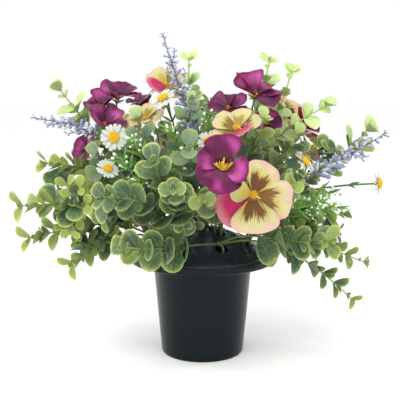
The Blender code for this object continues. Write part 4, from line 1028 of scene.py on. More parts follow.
def plant_side_spikes(bed, node):
    """Short side spikes of a lavender, and small florets all along it."""
    draw = random.Random(node + " small florets")
    spike = bed.of(node, "stem")[2]
    spikes = [(spike, SMALL_FLORETS, 1.0)]
    for number in range(6):
        share = 0.02 + 0.12 * number
        point, ahead, out = outward(spike, share, 2.4 * number + 0.6)
        length = draw.uniform(18, 30) * (1.0 - 0.5 * share)
        way = out * 0.7 + ahead
        path = bent_path(point, way, point + way.normalized() * length, ahead + out * 0.2, 3)
        spikes.append((add_stem(bed, node, path, taper(0.6, 0.4, 4), "twig"), 7, 0.85))
    for stem, count, size in spikes:
        for number in range(count):
            share = 0.02 + 0.97 * number / (count - 1)
            point, ahead, out = outward(stem, share, 2.4 * number)
            out = out + ahead * draw.uniform(0.3, 1.1)
            length = FLORET_LONG * draw.uniform(0.5, 0.8) * (1.0 - 0.35 * share) * size
            bed.add(Piece(node, "floret", bud(point, out, length, FLORET_R * 0.8, 3, 0.6),
                              base=point, way=out, length=length, radius=FLORET_R * 0.8 * size, share=share))


def plant_small_buds(bed, node):
    """Small buds on thin stalks and more narrow leaves round the heads of a spray."""
    draw = random.Random(node + " small buds")
    for stem in bed.of(node, "stem")[1:]:
        for share in (0.5, 0.62, 0.74, 0.85, 0.95):
            shapes = [lance_shape(draw.uniform(14, 23), 3.4, draw.uniform(-0.1, 0.2)) for _ in range(2)]
            plant_pair(bed, node, stem, share, draw.uniform(0, 360), 42, shapes, "lance")
        for number in range(10):
            point, ahead, out = outward(stem, draw.uniform(0.66, 1.0), 2.4 * number)
            out = out * draw.uniform(0.5, 1.2) + ahead
            length = draw.uniform(6, 13)
            plant_bud(bed, node, point, out, length, 1.2, 0.78, 1.2)


def planted_on(node, kind):
    """The pieces of one kind on a node."""
    return planting().of(node, kind)


def linear(red, green, blue):
    """A colour given as it looks on a screen, from 0 to 255, as light."""
    return tuple((value / 255) ** 2.2 for value in (red, green, blue))


# Fine surfaces: thin parts


def edge_width(shape, share):
    """Half width of a fine blade at a place along it, rounded or pointed at its tip."""
    if share < shape["widest"] or not shape["tip"]:
        return half_width(share, shape["widest"], shape["foot"], shape["swell"])
    past = (share - shape["widest"]) / (1.0 - shape["widest"])
    return max(0.0, 1.0 - past ** POINT_POWER)


def edge_line(shape, rays, notch):
    """Evenly spaced points round a blade, from beside its foot over its tip, as places along and across."""
    turns = np.linspace(-1.0, 1.0, 241)
    share = 1.0 - turns * turns
    wide = np.array([edge_width(shape, value) for value in share]) * np.sign(turns)
    share = share * (1.0 - notch * np.exp(-(turns / 0.22) ** 2))
    points = np.column_stack((share * shape["length"], 0.5 * shape["width"] * wide))
    steps = np.concatenate(([0.0], np.cumsum(np.linalg.norm(np.diff(points, axis=0), axis=1))))
    even = np.linspace(0.0, steps[-1], rays)
    return np.column_stack([np.interp(even, steps, points[:, axis]) for axis in range(2)])


def fan(shape, rays, rings, thick, notch=0.0, relief=None, frill=(0.0, 0.0, 0.0)):
    """A closed thin blade from its foot outwards: points, faces, and what its finish reads."""
    spread = np.linspace(0.0, 1.0, rays)
    size, waves, phase = frill
    wave = np.sin(waves * 2 * math.pi * spread + phase)
    wave = wave + 0.5 * np.sin(2.6 * waves * 2 * math.pi * spread + 2 * phase)
    foot = np.array([0.3, 0.0])
    reach_out = (1.0 + size * wave * np.sin(math.pi * spread) ** 0.5)[:, None]
    line = foot + (edge_line(shape, rays, notch) - foot) * reach_out
    out = np.linspace(0.0, 1.0, rings + 1)[1:] ** 0.85
    flat = foot + out[:, None, None] * (line[None] - foot)
    across = np.broadcast_to(spread[None], flat.shape[:2])
    reach = np.broadcast_to(out[:, None], flat.shape[:2])
    x, y = flat[..., 0], flat[..., 1]
    share, wide = x / shape["length"], 2.0 * y / shape["width"]
    z = shape["length"] * (shape["rise"] * share + shape["bend"] * share**2)
    z = z + shape["cup"] * shape["width"] * wide**2 + shape["twist"] * y
    if relief:
        z = z + relief(across, reach, share, wide) * shape["length"]
    middle = np.stack((x, y, z), axis=-1)
    normal = np.cross(np.gradient(middle, axis=0), np.gradient(middle, axis=1))
    normal /= np.maximum(np.linalg.norm(normal, axis=-1, keepdims=True), 1e-9)
    normal[normal[..., 2] < 0] *= -1.0
    inner = np.zeros(flat.shape[:2], bool)
    inner[:-1, 1:-1] = True
    half = (0.5 * thick * (1.0 - reach**6) * inner)[..., None]
    upper = 1 + np.arange(rings * rays).reshape(rings, rays)
    lower = upper.copy()
    lower[inner] = 1 + rings * rays + np.arange(inner.sum())
    faces, side = [], []
    for index, below in ((upper.tolist(), 0), (lower.tolist(), 1)):
        for ray in range(rays - 1):
            corners = [(0, index[0][ray], index[0][ray + 1])]
            corners += [(near[ray], far[ray], far[ray + 1], near[ray + 1])
                        for near, far in zip(index, index[1:])]
            faces += [corner[::-1] if below else corner for corner in corners]
            side += [float(below)] * rings

    def both(first, values):
        """The foot's value, those of the top and those of the underside."""
        return np.vstack(([first], values[0].reshape(-1, 3), values[1][inner]))

    fan_place = np.stack((across, reach, np.zeros_like(reach)), axis=-1)
    flat_place = np.stack((share, wide, np.zeros_like(share)), axis=-1)
    marks = {"fan": both([0.5, 0, 0], (fan_place,) * 2), "flat": both([0, 0, 0], (flat_place,) * 2),
             "under": side}
    return both([foot[0], 0.0, 0.0], (middle + normal * half, middle - normal * half)), faces, marks


def mesh_object(name, verts, faces, marks=None, place=None, scale=MM, edges=()):
    """A mesh object from points in millimetres, with the values that its finish or its tree reads."""
    points = np.asarray(verts, dtype=float)
    if place is not None:
        points = points @ np.array(place.to_3x3()).T + np.array(place.translation)
    data = bpy.data.meshes.new(name)
    data.from_pydata((points * scale).tolist(), edges, faces)
    for label, values in (marks or {}).items():
        put_mark(data, label, values)
    data.shade_smooth()
    if marks and "under" in marks:
        data.set_sharp_from_angle(angle=math.radians(RIM_ANGLE))
    return linked(name, data)


def linked(name, data):
    """A new object in the scene."""
    item = bpy.data.objects.new(name, data)
    bpy.context.scene.collection.objects.link(item)
    return item


def put_mark(data, label, values):
    """Store a value, a whole number or a vector for each point of a mesh, or for each face under one name."""
    values = np.asarray(values)
    kind = "FLOAT_VECTOR" if values.ndim == 2 else ("INT" if values.dtype.kind == "i" else "FLOAT")
    mark = data.attributes.new(label, kind, "FACE" if label == "under" else "POINT")
    mark.data.foreach_set("vector" if values.ndim == 2 else "value", values.ravel())


def mark_all(item, **values):
    """Give every point of an object the same value under each name."""
    for label, value in values.items():
        put_mark(item.data, label, np.full(len(item.data.vertices), float(value)))


def drop(item):
    """Delete a mesh object."""
    data = item.data
    bpy.data.objects.remove(item)
    bpy.data.meshes.remove(data)


def hand_over(items, node):
    """Several objects become one finished piece, which takes a solid's place."""
    item = items[0]
    if len(items) > 1:
        with bpy.context.temp_override(active_object=item, object=item, selected_objects=items,
                                       selected_editable_objects=items):
            bpy.ops.object.join()
    item.name = item.data.name = "fine_" + node
    if not item.data.polygons:
        raise RuntimeError(f"{item.name} is empty")
    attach(item, "root")
    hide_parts(node)
    return item


# Trees of geometry nodes


class Nodes:
    """A group of nodes under construction."""

    def put(self, kind, inputs=None, **properties):
        """Add a node: its inputs are values or outputs of other nodes, by name or number."""
        node = self.group.nodes.new(kind)
        for label, value in properties.items():
            setattr(node, label, value)
        for label, value in (inputs or {}).items():
            if isinstance(value, bpy.types.NodeSocket):
                self.group.links.new(value, node.inputs[label])
            else:
                node.inputs[label].default_value = value
        return node.outputs

    def calc(self, operation, *numbers):
        """A sum on one, two or three numbers."""
        return self.put("ShaderNodeMath", dict(enumerate(numbers)), operation=operation)[0]

    def times(self, first, second):
        """A product."""
        return self.calc("MULTIPLY", first, second)

    def parts(self, vector):
        """The three numbers of a vector."""
        return self.put("ShaderNodeSeparateXYZ", {0: vector})

    def join(self, x, y, z):
        """A vector from three numbers."""
        return self.put("ShaderNodeCombineXYZ", {0: x, 1: y, 2: z})[0]


class Tree(Nodes):
    """A geometry node tree with named inputs."""

    def __init__(self, name, *inputs):
        self.group = bpy.data.node_groups.new(name, "GeometryNodeTree")
        sockets = self.group.interface
        for label, kind, value in (("Geometry", "Geometry", None), *inputs, ("Finish", "Material", None)):
            socket = sockets.new_socket(label, in_out="INPUT", socket_type="NodeSocket" + kind)
            if value is not None:
                socket.default_value = value
        sockets.new_socket("Geometry", in_out="OUTPUT", socket_type="NodeSocketGeometry")
        self.given = self.group.nodes.new("NodeGroupInput").outputs

    def mark(self, label, kind="FLOAT"):
        """A value that the carrier mesh stores."""
        return self.put("GeometryNodeInputNamedAttribute", {"Name": label}, data_type=kind)["Attribute"]

    def end(self, geometry):
        """Make the result smooth, real and finished."""
        shaded = self.put("GeometryNodeSetShadeSmooth", {"Geometry": geometry})[0]
        real = self.put("GeometryNodeRealizeInstances", {"Geometry": shaded})[0]
        done = self.put("GeometryNodeSetMaterial", {"Geometry": real, "Material": self.given["Finish"]})[0]
        self.group.links.new(done, self.group.nodes.new("NodeGroupOutput").inputs[0])
        return self.group


def grown(name, carrier, tree, **inputs):
    """The plain mesh object that a tree makes from a carrier mesh."""
    objects = bpy.context.scene.collection.objects
    objects.unlink(carrier)
    modifier = carrier.modifiers.new("Grow", "NODES")
    modifier.node_group = tree
    codes = {socket.name: socket.identifier for socket in tree.interface.items_tree
             if socket.item_type == "SOCKET" and socket.in_out == "INPUT"}
    for label, value in inputs.items():
        modifier[codes[label.title()]] = value
    objects.link(carrier)
    graph = bpy.context.evaluated_depsgraph_get()
    data = bpy.data.meshes.new_from_object(carrier.evaluated_get(graph), preserve_all_data_layers=True,
                                           depsgraph=graph)
    carrier.modifiers.remove(modifier)
    old, carrier.data, carrier.name = carrier.data, data, name
    bpy.data.meshes.remove(old)
    return carrier


@cache
def scatter_tree():
    """Sets one of several shapes on each point of a mesh, turned and sized by what the point stores."""
    tree = Tree("Scatter shapes", ("Shapes", "Collection", None), ("Size", "Float", 1.0))
    shapes = tree.put("GeometryNodeCollectionInfo", {"Collection": tree.given["Shapes"],
                                                     "Separate Children": True, "Reset Children": True})[0]
    turn = tree.put("FunctionNodeEulerToRotation", {0: tree.mark("turn", "FLOAT_VECTOR")})[0]
    size = tree.put("ShaderNodeVectorMath", {0: tree.mark("size", "FLOAT_VECTOR"),
                                             "Scale": tree.given["Size"]}, operation="SCALE")[0]
    return tree.end(tree.put("GeometryNodeInstanceOnPoints", {
        "Points": tree.given["Geometry"], "Instance": shapes, "Pick Instance": True,
        "Instance Index": tree.mark("pick", "INT"), "Rotation": turn, "Scale": size})[0])


@cache
def stem_tree():
    """Makes round stems along the edges of a mesh, as thick as its points say."""
    tree = Tree("Grow stems", ("Sides", "Int", 8), ("Thickness", "Float", 1.0))
    curve = tree.put("GeometryNodeMeshToCurve", {"Mesh": tree.given["Geometry"]})[0]
    ring = tree.put("GeometryNodeCurvePrimitiveCircle", {"Resolution": tree.given["Sides"], "Radius": 1.0})[0]
    return tree.end(tree.put("GeometryNodeCurveToMesh", {
        "Curve": curve, "Profile Curve": ring, "Fill Caps": True,
        "Scale": tree.times(tree.mark("thick"), tree.given["Thickness"])})[0])


@cache
def turning_tree():
    """Turns a profile, given as a row of points, about the upright axis."""
    tree = Tree("Turn profile", ("Sides", "Int", 96))
    put, calc, outline, sides = tree.put, tree.calc, tree.given["Geometry"], tree.given["Sides"]
    count = put("GeometryNodeAttributeDomainSize", {"Geometry": outline}, component="MESH")["Point Count"]
    grid = put("GeometryNodeMeshGrid", {"Vertices X": calc("ADD", sides, 1.0), "Vertices Y": count})[0]
    index = put("GeometryNodeInputIndex")[0]
    point = tree.parts(put("GeometryNodeSampleIndex", {
        "Geometry": outline, "Value": put("GeometryNodeInputPosition")[0],
        "Index": calc("MODULO", index, count)}, data_type="FLOAT_VECTOR")[0])
    column = calc("FLOOR", calc("DIVIDE", index, count))
    angle = tree.times(column, calc("DIVIDE", 2.0 * math.pi, sides))
    x, y = [tree.times(point["X"], calc(operation, angle)) for operation in ("COSINE", "SINE")]
    spot = tree.join(x, y, point["Z"])
    turned = put("GeometryNodeSetPosition", {"Geometry": grid, "Position": spot})[0]
    return tree.end(put("GeometryNodeMergeByDistance", {"Geometry": turned, "Distance": 0.00001})[0])


@cache
def piercing_tree():
    """Cuts a round upright hole through a mesh at each point of a second object."""
    tree = Tree("Pierce", ("Places", "Object", None), ("Radius", "Float", 0.0075), ("Depth", "Float", 0.08),
                ("Sides", "Int", 32))
    places = tree.put("GeometryNodeObjectInfo", {"Object": tree.given["Places"]})["Geometry"]
    drill = tree.put("GeometryNodeMeshCylinder", {"Vertices": tree.given["Sides"],
                                                  "Radius": tree.given["Radius"],
                                                  "Depth": tree.given["Depth"]})[0]
    drills = tree.put("GeometryNodeInstanceOnPoints", {"Points": places, "Instance": drill})[0]
    return tree.end(tree.put("GeometryNodeMeshBoolean", {"Mesh 1": tree.given["Geometry"], "Mesh 2": drills},
                             operation="DIFFERENCE", solver="EXACT")[0])


def shape_set(name):
    """A collection of shapes for scattering, kept out of the scene and made when it is first needed."""
    if name not in SHAPES:
        SHAPES[name] = bpy.data.collections.new(name)
        for number, (verts, faces, marks) in enumerate(SHAPE_MAKERS[name]()):
            item = mesh_object(f"{name} {number:02d}", verts, faces, marks, scale=1.0)
            bpy.context.scene.collection.objects.unlink(item)
            SHAPES[name].objects.link(item)
    return SHAPES[name]


def put_away():
    """Delete the sets of shapes."""
    for group in SHAPES.values():
        for item in list(group.objects):
            drop(item)
        bpy.data.collections.remove(group)
    SHAPES.clear()


def scattered(name, shapes, rows, finish, size=1.0):
    """Shapes of a set at rows of place in millimetres, size, number of the shape, tone and youth."""
    places, sizes, picks, tone, young = zip(*rows)
    marks = {"turn": [tuple(place.to_euler()) for place in places], "size": np.array(sizes) * MM,
             "pick": np.array(picks, dtype=np.int32), "tone": np.array(tone, dtype=float),
             "young": np.array(young, dtype=float)}
    carrier = mesh_object(name, [tuple(place.translation) for place in places], [], marks)
    return grown(name, carrier, scatter_tree(), shapes=shape_set(shapes), size=size, finish=finish_of(finish))


def smooth_path(path, radii, steps):
    """A finer way through the same points, and the radius at each of its points."""
    points = np.array([tuple(point) for point in path])
    ends = np.vstack((2 * points[0] - points[1], points, 2 * points[-1] - points[-2]))
    fine, thick = [], []
    for index in range(len(points) - 1):
        a, b, c, d = ends[index:index + 4]
        for step in range(steps):
            t = step / steps
            fine.append(0.5 * (2 * b + (c - a) * t + (2 * a - 5 * b + 4 * c - d) * t**2
                               + (3 * b - a - 3 * c + d) * t**3))
            thick.append(radii[index] + (radii[index + 1] - radii[index]) * t)
    return fine + [points[-1]], thick + [radii[-1]]


def stems_object(name, lines, finish, thickness=1.0):
    """Round stems along lines, each a path in millimetres, its radii and how young it is from foot to tip."""
    spots, edges, thick, young = [], [], [], []
    for path, radii, first, last in lines:
        start = len(spots)
        spots += [tuple(point) for point in path]
        thick += [radius * MM for radius in radii]
        young += list(np.linspace(first, last, len(path)))
        edges += [(index, index + 1) for index in range(start, len(spots) - 1)]
    carrier = mesh_object(name, spots, [], {"thick": thick, "young": young}, edges=edges)
    return grown(name, carrier, stem_tree(), thickness=thickness, finish=finish_of(finish))


# Finishes


class Finish(Nodes):
    """A procedural material under construction."""

    def __init__(self, name, roughness, constants=None):
        self.material = bpy.data.materials.new(name)
        self.material.use_nodes = True
        self.group = self.material.node_tree
        self.shader = next(node for node in self.group.nodes if node.type == "BSDF_PRINCIPLED")
        for label, value in {"Roughness": roughness, **(constants or {})}.items():
            self.shader.inputs[label].default_value = value

    def mark(self, label):
        """A value stored on the mesh."""
        return self.put("ShaderNodeAttribute", attribute_name=label)["Fac"]

    def spot(self, label):
        """The three numbers of a vector stored on the mesh."""
        return self.parts(self.put("ShaderNodeAttribute", attribute_name=label)["Vector"])

    def place(self):
        """The place on the object, in metres."""
        return self.put("ShaderNodeTexCoord")["Object"]

    def plus(self, first, second):
        """A sum."""
        return self.calc("ADD", first, second)

    def minus(self, first, second):
        """A difference."""
        return self.calc("SUBTRACT", first, second)

    def over(self, value, factor, base):
        """A share of a value on top of another."""
        return self.calc("MULTIPLY_ADD", value, factor, base)

    def ease(self, value, low, high, start=0.0, end=1.0):
        """A smooth change from start to end as a value goes from low to high."""
        return self.put("ShaderNodeMapRange", {"Value": value, "From Min": low, "From Max": high,
                                               "To Min": start, "To Max": end},
                        interpolation_type="SMOOTHSTEP")[0]

    def noise(self, vector, scale, detail=3.0, roughness=0.55):
        """A soft random pattern, about 0.5 on the whole."""
        return self.put("ShaderNodeTexNoise", {"Vector": vector, "Scale": scale, "Detail": detail,
                                               "Roughness": roughness})[0]

    def mix(self, share, *colours):
        """A colour between two."""
        first, second = [colour if isinstance(colour, bpy.types.NodeSocket) else (*colour, 1.0)
                         for colour in colours]
        return self.put("ShaderNodeMix", {0: share, 6: first, 7: second}, data_type="RGBA")[2]

    def done(self, colour, height=None, strength=0.3, distance=0.0005, roughness=None):
        """Link the colour, the relief and the roughness, and give the material back."""
        inputs = {"Base Color": colour, "Roughness": roughness}
        if height is not None:
            inputs["Normal"] = self.put("ShaderNodeBump", {"Strength": strength, "Distance": distance,
                                                           "Height": height})[0]
        for label, value in inputs.items():
            if value is not None:
                self.group.links.new(value, self.shader.inputs[label])
        return self.material


def plastic_finish(name, colour, pot, gloss, painted_bead_highlight=None):
    """Near-black moulded plastic with a fine grain, a little dusty, and painted paler between two heights as
    a painted highlight.
    """
    cool = (0.78, 0.93, 1.0, 1.0)
    finish = Finish(name, pot.roughness, {"Specular IOR Level": gloss, "Specular Tint": cool,
                                          "Sheen Weight": pot.dust, "Sheen Roughness": 0.2,
                                          "Sheen Tint": cool})
    place = finish.place()
    dust = finish.noise(place, 70.0, 5.0)
    grain = finish.noise(place, 1400.0, 2.0)
    pale = [1.25 * value + 0.001 for value in colour]
    rough = finish.ease(dust, 0.3, 0.8, pot.roughness - 0.04, pot.roughness + 0.06)
    body = finish.mix(finish.ease(dust, 0.5, 0.85), colour, pale)
    # Painted highlight: the top of the bead is painted paler, to stand in for the highlight along the lip
    if painted_bead_highlight:
        body = finish.mix(finish.ease(finish.parts(place)[2], *painted_bead_highlight, 0.0, 0.8), body, linear(72, 76, 78))
    return finish.done(body, grain, 0.08, 0.0002, rough)


def foam_finish():
    """Green florist's foam: full of small pits, which are painted dark as painted shade."""
    finish = Finish("Florist foam", 0.95)
    place = finish.place()
    pits = finish.noise(place, 1800.0, 2.0)
    patch = finish.noise(place, 90.0, 3.0)
    colour = finish.mix(patch, linear(46, 74, 44), linear(74, 104, 62))
    # Painted shade: the pits are painted dark
    colour = finish.mix(finish.ease(pits, 0.3, 0.48, 1.0, 0.0), colour, linear(24, 40, 24))
    return finish.done(colour, pits, 0.8, 0.0008)


def leaf_finish(name, leaves, centre, rim, tip, depth=1.0):
    """Silk leaf: a pale bloom over a green centre, a light rim, faint veins, a duller back, and painted light
    on leaves high up and far out.
    """
    finish = Finish(name, 0.5, {"Sheen Weight": 0.06, "Specular IOR Level": 0.32})
    edge = finish.spot("fan")
    flat = finish.spot("flat")
    place = finish.place()
    young, tone = finish.mark("young"), finish.mark("tone")
    patch = finish.noise(place, 240.0, 4.0)
    speck = finish.noise(place, 1300.0, 3.0)
    dark = tuple((1.0 - share * depth) * value for share, value in zip((0.58, 0.46, 0.32), centre))
    body = finish.mix(finish.ease(finish.plus(patch, tone), 0.22, 0.74), dark, centre)
    silver = finish.mark("silver")
    body = finish.mix(finish.times(silver, 0.55), body, leaves.bloom)
    frost = finish.times(finish.ease(speck, 0.46, 0.7), finish.ease(patch, 0.42, 0.68))
    body = finish.mix(finish.times(frost, leaves.frost * depth), body, leaves.bloom)
    age = finish.plus(finish.over(tone, 0.5, young), finish.mark("warm"))
    body = finish.mix(finish.ease(age, 0.62, 1.18, 0.0, 0.8), body, tip)
    wander = finish.over(patch, 0.26, edge[1])
    glow = finish.plus(finish.ease(wander, 0.7, 1.12, 0.0, 0.22), finish.ease(wander, 0.98, 1.12, 0.0, 0.65))
    lined = finish.times(glow, finish.ease(silver, 0.0, 1.0, 1.0, 0.3))
    body = finish.mix(lined, body, rim)
    # Painted light: leaves high up and far out from the middle are painted towards the light-leaf colour
    spot = finish.parts(place)
    high = finish.over(finish.calc("ABSOLUTE", spot[0]), 0.25, spot[2])
    body = finish.mix(finish.ease(high, 0.285, 0.34, 0.0, 0.75 * depth), body, leaves.light)
    side = finish.calc("ABSOLUTE", flat[1])
    rib = finish.ease(side, 0.0, 0.07, 1.0, 0.0)
    slant = finish.over(side, -0.35, flat[0])
    wave = finish.calc("SINE", finish.times(slant, 46.0))
    vein = finish.times(finish.ease(wave, 0.8, 1.0), 0.45)
    lines = finish.calc("MAXIMUM", rib, vein)
    body = finish.mix(finish.times(lines, 0.3), body, rim)
    back = finish.mix(0.55, body, leaves.back)
    colour = finish.mix(finish.mark("under"), body, back)
    height = finish.over(lines, -1.0, finish.times(speck, 0.35))
    rough = finish.ease(patch, 0.3, 0.7, 0.44, 0.6)
    return finish.done(colour, height, 0.35, 0.0005, rough)


def stem_finish(name, colour, tip):
    """Green plastic stem, lighter towards its tip, with fine ribs."""
    finish = Finish(name, 0.48)
    place = finish.place()
    patch = finish.noise(place, 300.0, 3.0)
    dark = tuple(0.5 * value for value in colour)
    body = finish.mix(patch, dark, colour)
    body = finish.mix(finish.ease(finish.mark("young"), 0.4, 1.0, 0.0, 0.8), body, tip)
    return finish.done(body, finish.noise(place, 1500.0, 2.0), 0.25, 0.0003)


def petal_parts(finish):
    """What petal finishes share: across and outwards on the petal, and fine and broad streaks."""
    edge = finish.spot("fan")
    shift = finish.times(finish.mark("tone"), 37.0)
    parts = [edge]
    for across, outwards, detail, roughness in ((46.0, 2.2, 4.0, 0.6), (9.0, 1.4, 2.0, 0.55)):
        spot = finish.join(finish.times(edge[0], across), finish.times(edge[1], outwards), shift)
        parts.append(finish.noise(spot, 1.0, detail, roughness))
    return parts


def purple_finish(pansy):
    """Purple satin petal: fine radial streaks, a hazy foot, a pink-violet gloss, a painted satin highlight,
    and painted light and shade.
    """
    satin = (1.0, 0.42, 0.86, 1.0)
    finish = Finish("Purple petal", 0.36, {"Specular IOR Level": 0.65, "Specular Tint": satin,
                                           "Sheen Weight": 0.1, "Sheen Roughness": 0.35,
                                           "Sheen Tint": satin})
    edge, fine, _ = petal_parts(finish)
    # The lit mark paints whole petals lighter or darker: painted light and shade on petals in front and
    # behind
    cloud = finish.plus(finish.noise(finish.place(), 48.0, 1.0),
                        finish.times(finish.minus(finish.mark("lit"), 0.5), 0.3))
    body = finish.mix(finish.ease(cloud, 0.26, 0.66), pansy.plum, pansy.purple)
    # Painted highlight: a band across each petal is painted violet as its satin highlight
    highlight_band = finish.ease(finish.calc("ABSOLUTE", finish.minus(edge[1], 0.68)), 0.06, 0.32, 1.0, 0.0)
    painted_satin_highlight = finish.times(finish.ease(cloud, 0.42, 0.76), highlight_band)
    body = finish.mix(finish.times(painted_satin_highlight, 0.85), body, pansy.violet)
    thread = finish.calc("SINE", finish.over(edge[0], 420.0, finish.times(fine, 12.0)))
    body = finish.mix(finish.ease(thread, 0.0, 1.0, 0.0, 0.22), body, pansy.violet)
    # Darker towards the heart: partly the petal's own plum throat, partly painted shade where the petals
    # overlap
    foot = finish.over(fine, 0.55, edge[1])
    body = finish.mix(finish.ease(foot, 0.45, 1.02, 0.9, 0.0), body, pansy.plum)
    haze = finish.times(finish.ease(foot, 0.48, 0.88, 1.0, 0.0), finish.mark("blotch"))
    body = finish.mix(finish.times(haze, 0.6), body, pansy.haze)
    body = finish.mix(finish.ease(edge[1], 0.88, 1.0, 0.0, 0.5), body, pansy.purple)
    body = finish.mix(finish.mark("pink"), body, pansy.crimson)
    back = finish.mix(0.4, body, pansy.crimson)
    colour = finish.mix(finish.mark("under"), body, back)
    height = finish.over(thread, 0.3, finish.times(finish.noise(finish.place(), 2600.0, 2.0), 0.25))
    rough = finish.ease(fine, 0.3, 0.7, 0.3, 0.44)
    return finish.done(colour, height, 0.25, 0.0004, rough)


def yellow_finish(pansy):
    """Yellow petal: dark radial veins from a jagged brown blotch, a pink rim and a pink back."""
    finish = Finish("Yellow petal", 0.5, {"Sheen Weight": 0.12, "Sheen Roughness": 0.4,
                                           "Specular IOR Level": 0.35})
    edge, fine, broad = petal_parts(finish)
    blotch = finish.mark("blotch")
    outer = finish.ease(finish.over(broad, 0.4, edge[1]), 0.5, 1.05)
    body = finish.mix(outer, pansy.yellow, pansy.cream)
    comb = finish.calc("SINE", finish.over(edge[0], 235.0, finish.times(fine, 9.0)))
    ends = finish.ease(finish.over(fine, 0.5, edge[1]), 0.74, 1.16, 0.85, 0.0)
    vein = finish.times(finish.ease(comb, 0.55, 1.0), ends)
    body = finish.mix(finish.times(vein, blotch), body, pansy.vein)
    side = finish.calc("ABSOLUTE", finish.minus(edge[0], 0.5))
    limit = finish.minus(finish.ease(side, 0.14, 0.3, 0.6, 0.0), finish.ease(side, 0.0, 0.07, 0.12, 0.0))
    reach = finish.over(finish.minus(fine, 0.5), 0.62, limit)
    inside = finish.ease(finish.minus(reach, edge[1]), -0.1, 0.06)
    brown = finish.mix(finish.ease(fine, 0.4, 0.75), pansy.blotch, pansy.vein)
    body = finish.mix(finish.times(inside, blotch), body, brown)
    body = finish.mix(finish.ease(edge[1], 0.06, 0.17, 1.0, 0.0), body, pansy.yellow)
    pink = finish.mark("pink")
    blush = finish.times(finish.ease(finish.over(broad, 0.7, edge[1]), 1.04, 1.42), pink)
    body = finish.mix(blush, body, pansy.rose)
    full = finish.ease(pink, 1.5, 2.0)
    body = finish.mix(finish.times(full, finish.ease(edge[1], 0.7, 1.0, 1.0, 0.45)), body, pansy.crimson)
    back = finish.mix(finish.ease(finish.over(fine, 0.3, edge[1]), 0.3, 1.15, 0.15, 0.75),
                      pansy.cream, pansy.rose)
    back = finish.mix(full, back, pansy.crimson)
    colour = finish.mix(finish.mark("under"), body, back)
    height = finish.over(fine, 1.0, finish.times(finish.noise(finish.place(), 2600.0, 2.0), 0.25))
    return finish.done(colour, height, 0.4, 0.0006)


def heart_finish(pansy):
    """Fuzzy yellow-orange heart."""
    finish = Finish("Pansy heart", 0.75, {"Sheen Weight": 0.1, "Specular IOR Level": 0.2})
    place = finish.place()
    colour = finish.mix(finish.ease(finish.noise(place, 900.0, 3.0), 0.3, 0.7), linear(206, 138, 18),
                        pansy.heart)
    colour = finish.mix(finish.ease(finish.mark("young"), 0.2, 0.8, 0.0, 0.7), colour, linear(238, 208, 80))
    return finish.done(colour, finish.noise(place, 2400.0, 3.0), 0.6, 0.0005)


def daisy_finish(daisy):
    """White daisy petal, greenish at its foot, with long fine ribs painted as lines of painted shade."""
    finish = Finish("Daisy petal", 0.55, {"Specular IOR Level": 0.3})
    edge, fine, broad = petal_parts(finish)
    # Painted shade: darker grey lines along the petal stand in for the shade in its grooves
    painted_groove_shade = finish.calc("COSINE", finish.times(finish.spot("flat")[1], 7.0))
    body = finish.mix(finish.ease(painted_groove_shade, -1.0, 0.6, 0.8, 0.0), daisy.petal, linear(176, 184, 168))
    body = finish.mix(finish.ease(broad, 0.3, 0.7, 0.0, 0.5), body, linear(206, 209, 196))
    body = finish.mix(finish.ease(edge[1], 0.15, 0.55, 0.9, 0.0), body, linear(176, 184, 136))
    # The back is greener and darker: partly its own colour, partly painted shade
    colour = finish.mix(finish.times(finish.mark("under"), 0.6), body, linear(166, 178, 148))
    return finish.done(colour, fine, 0.35, 0.0004)


def eye_finish(daisy):
    """Grainy yellow-orange eye of a daisy, deeper in the middle."""
    finish = Finish("Daisy eye", 0.8)
    place = finish.place()
    tone = finish.mark("tone")
    colour = finish.mix(finish.ease(tone, -0.5, 0.6), linear(214, 150, 14), daisy.eye)
    colour = finish.mix(finish.ease(finish.noise(place, 1500.0, 3.0), 0.55, 0.75, 0.0, 0.5), colour,
                        linear(242, 214, 70))
    return finish.done(colour, finish.noise(place, 2600.0, 2.0), 0.5, 0.0004)


def lavender_finish(lavender):
    """Dusty blue-violet floret, grey-green at its foot."""
    finish = Finish("Lavender floret", 0.75, {"Sheen Weight": 0.1, "Specular IOR Level": 0.3})
    place = finish.place()
    tone = finish.mark("tone")
    patch = finish.noise(place, 800.0, 3.0)
    share = finish.plus(patch, tone)
    body = finish.mix(finish.ease(share, 0.25, 0.85), lavender.deep, lavender.floret)
    body = finish.mix(finish.ease(finish.mark("length"), 0.15, 0.45, 0.75, 0.0), body, linear(120, 132, 110))
    return finish.done(body, finish.noise(place, 2600.0, 3.0), 0.7, 0.0005)


def bud_finish(sprays):
    """White bud with a green foot."""
    finish = Finish("White bud", 0.5)
    share = finish.mark("length")
    body = finish.mix(finish.ease(share, 0.15, 0.75), linear(126, 176, 74), sprays.bud)
    return finish.done(body, finish.noise(finish.place(), 1200.0, 3.0), 0.3, 0.0004)


# Small shapes for scattering


def turned_shape(profile, sides, ribs=0, depth=0.0):
    """A small closed shape turned about X from places along it and radii, with ribs down its sides."""
    verts, rings, faces = [], [], []
    for along_it, radius in profile:
        first = len(verts)
        for side in range(sides if radius else 1):
            turn = 2 * math.pi * side / sides
            reach = radius * (1.0 + depth * math.cos(ribs * turn))
            verts.append((along_it, reach * math.cos(turn), reach * math.sin(turn)))
        rings.append([min(first + side, len(verts) - 1) for side in range(sides)])
    for low, high in zip(rings, rings[1:]):
        for side in range(sides):
            ahead = (side + 1) % sides
            faces.append(tuple(dict.fromkeys((low[side], low[ahead], high[ahead], high[side]))))
    verts = np.array(verts, dtype=float)
    return verts, faces, {"length": verts[:, 0]}


def crease(share, wide, depth, width):
    """A fold down the middle of a blade."""
    return -depth * np.exp(-(wide / width) ** 2) * np.sin(math.pi * np.clip(share, 0, 1))


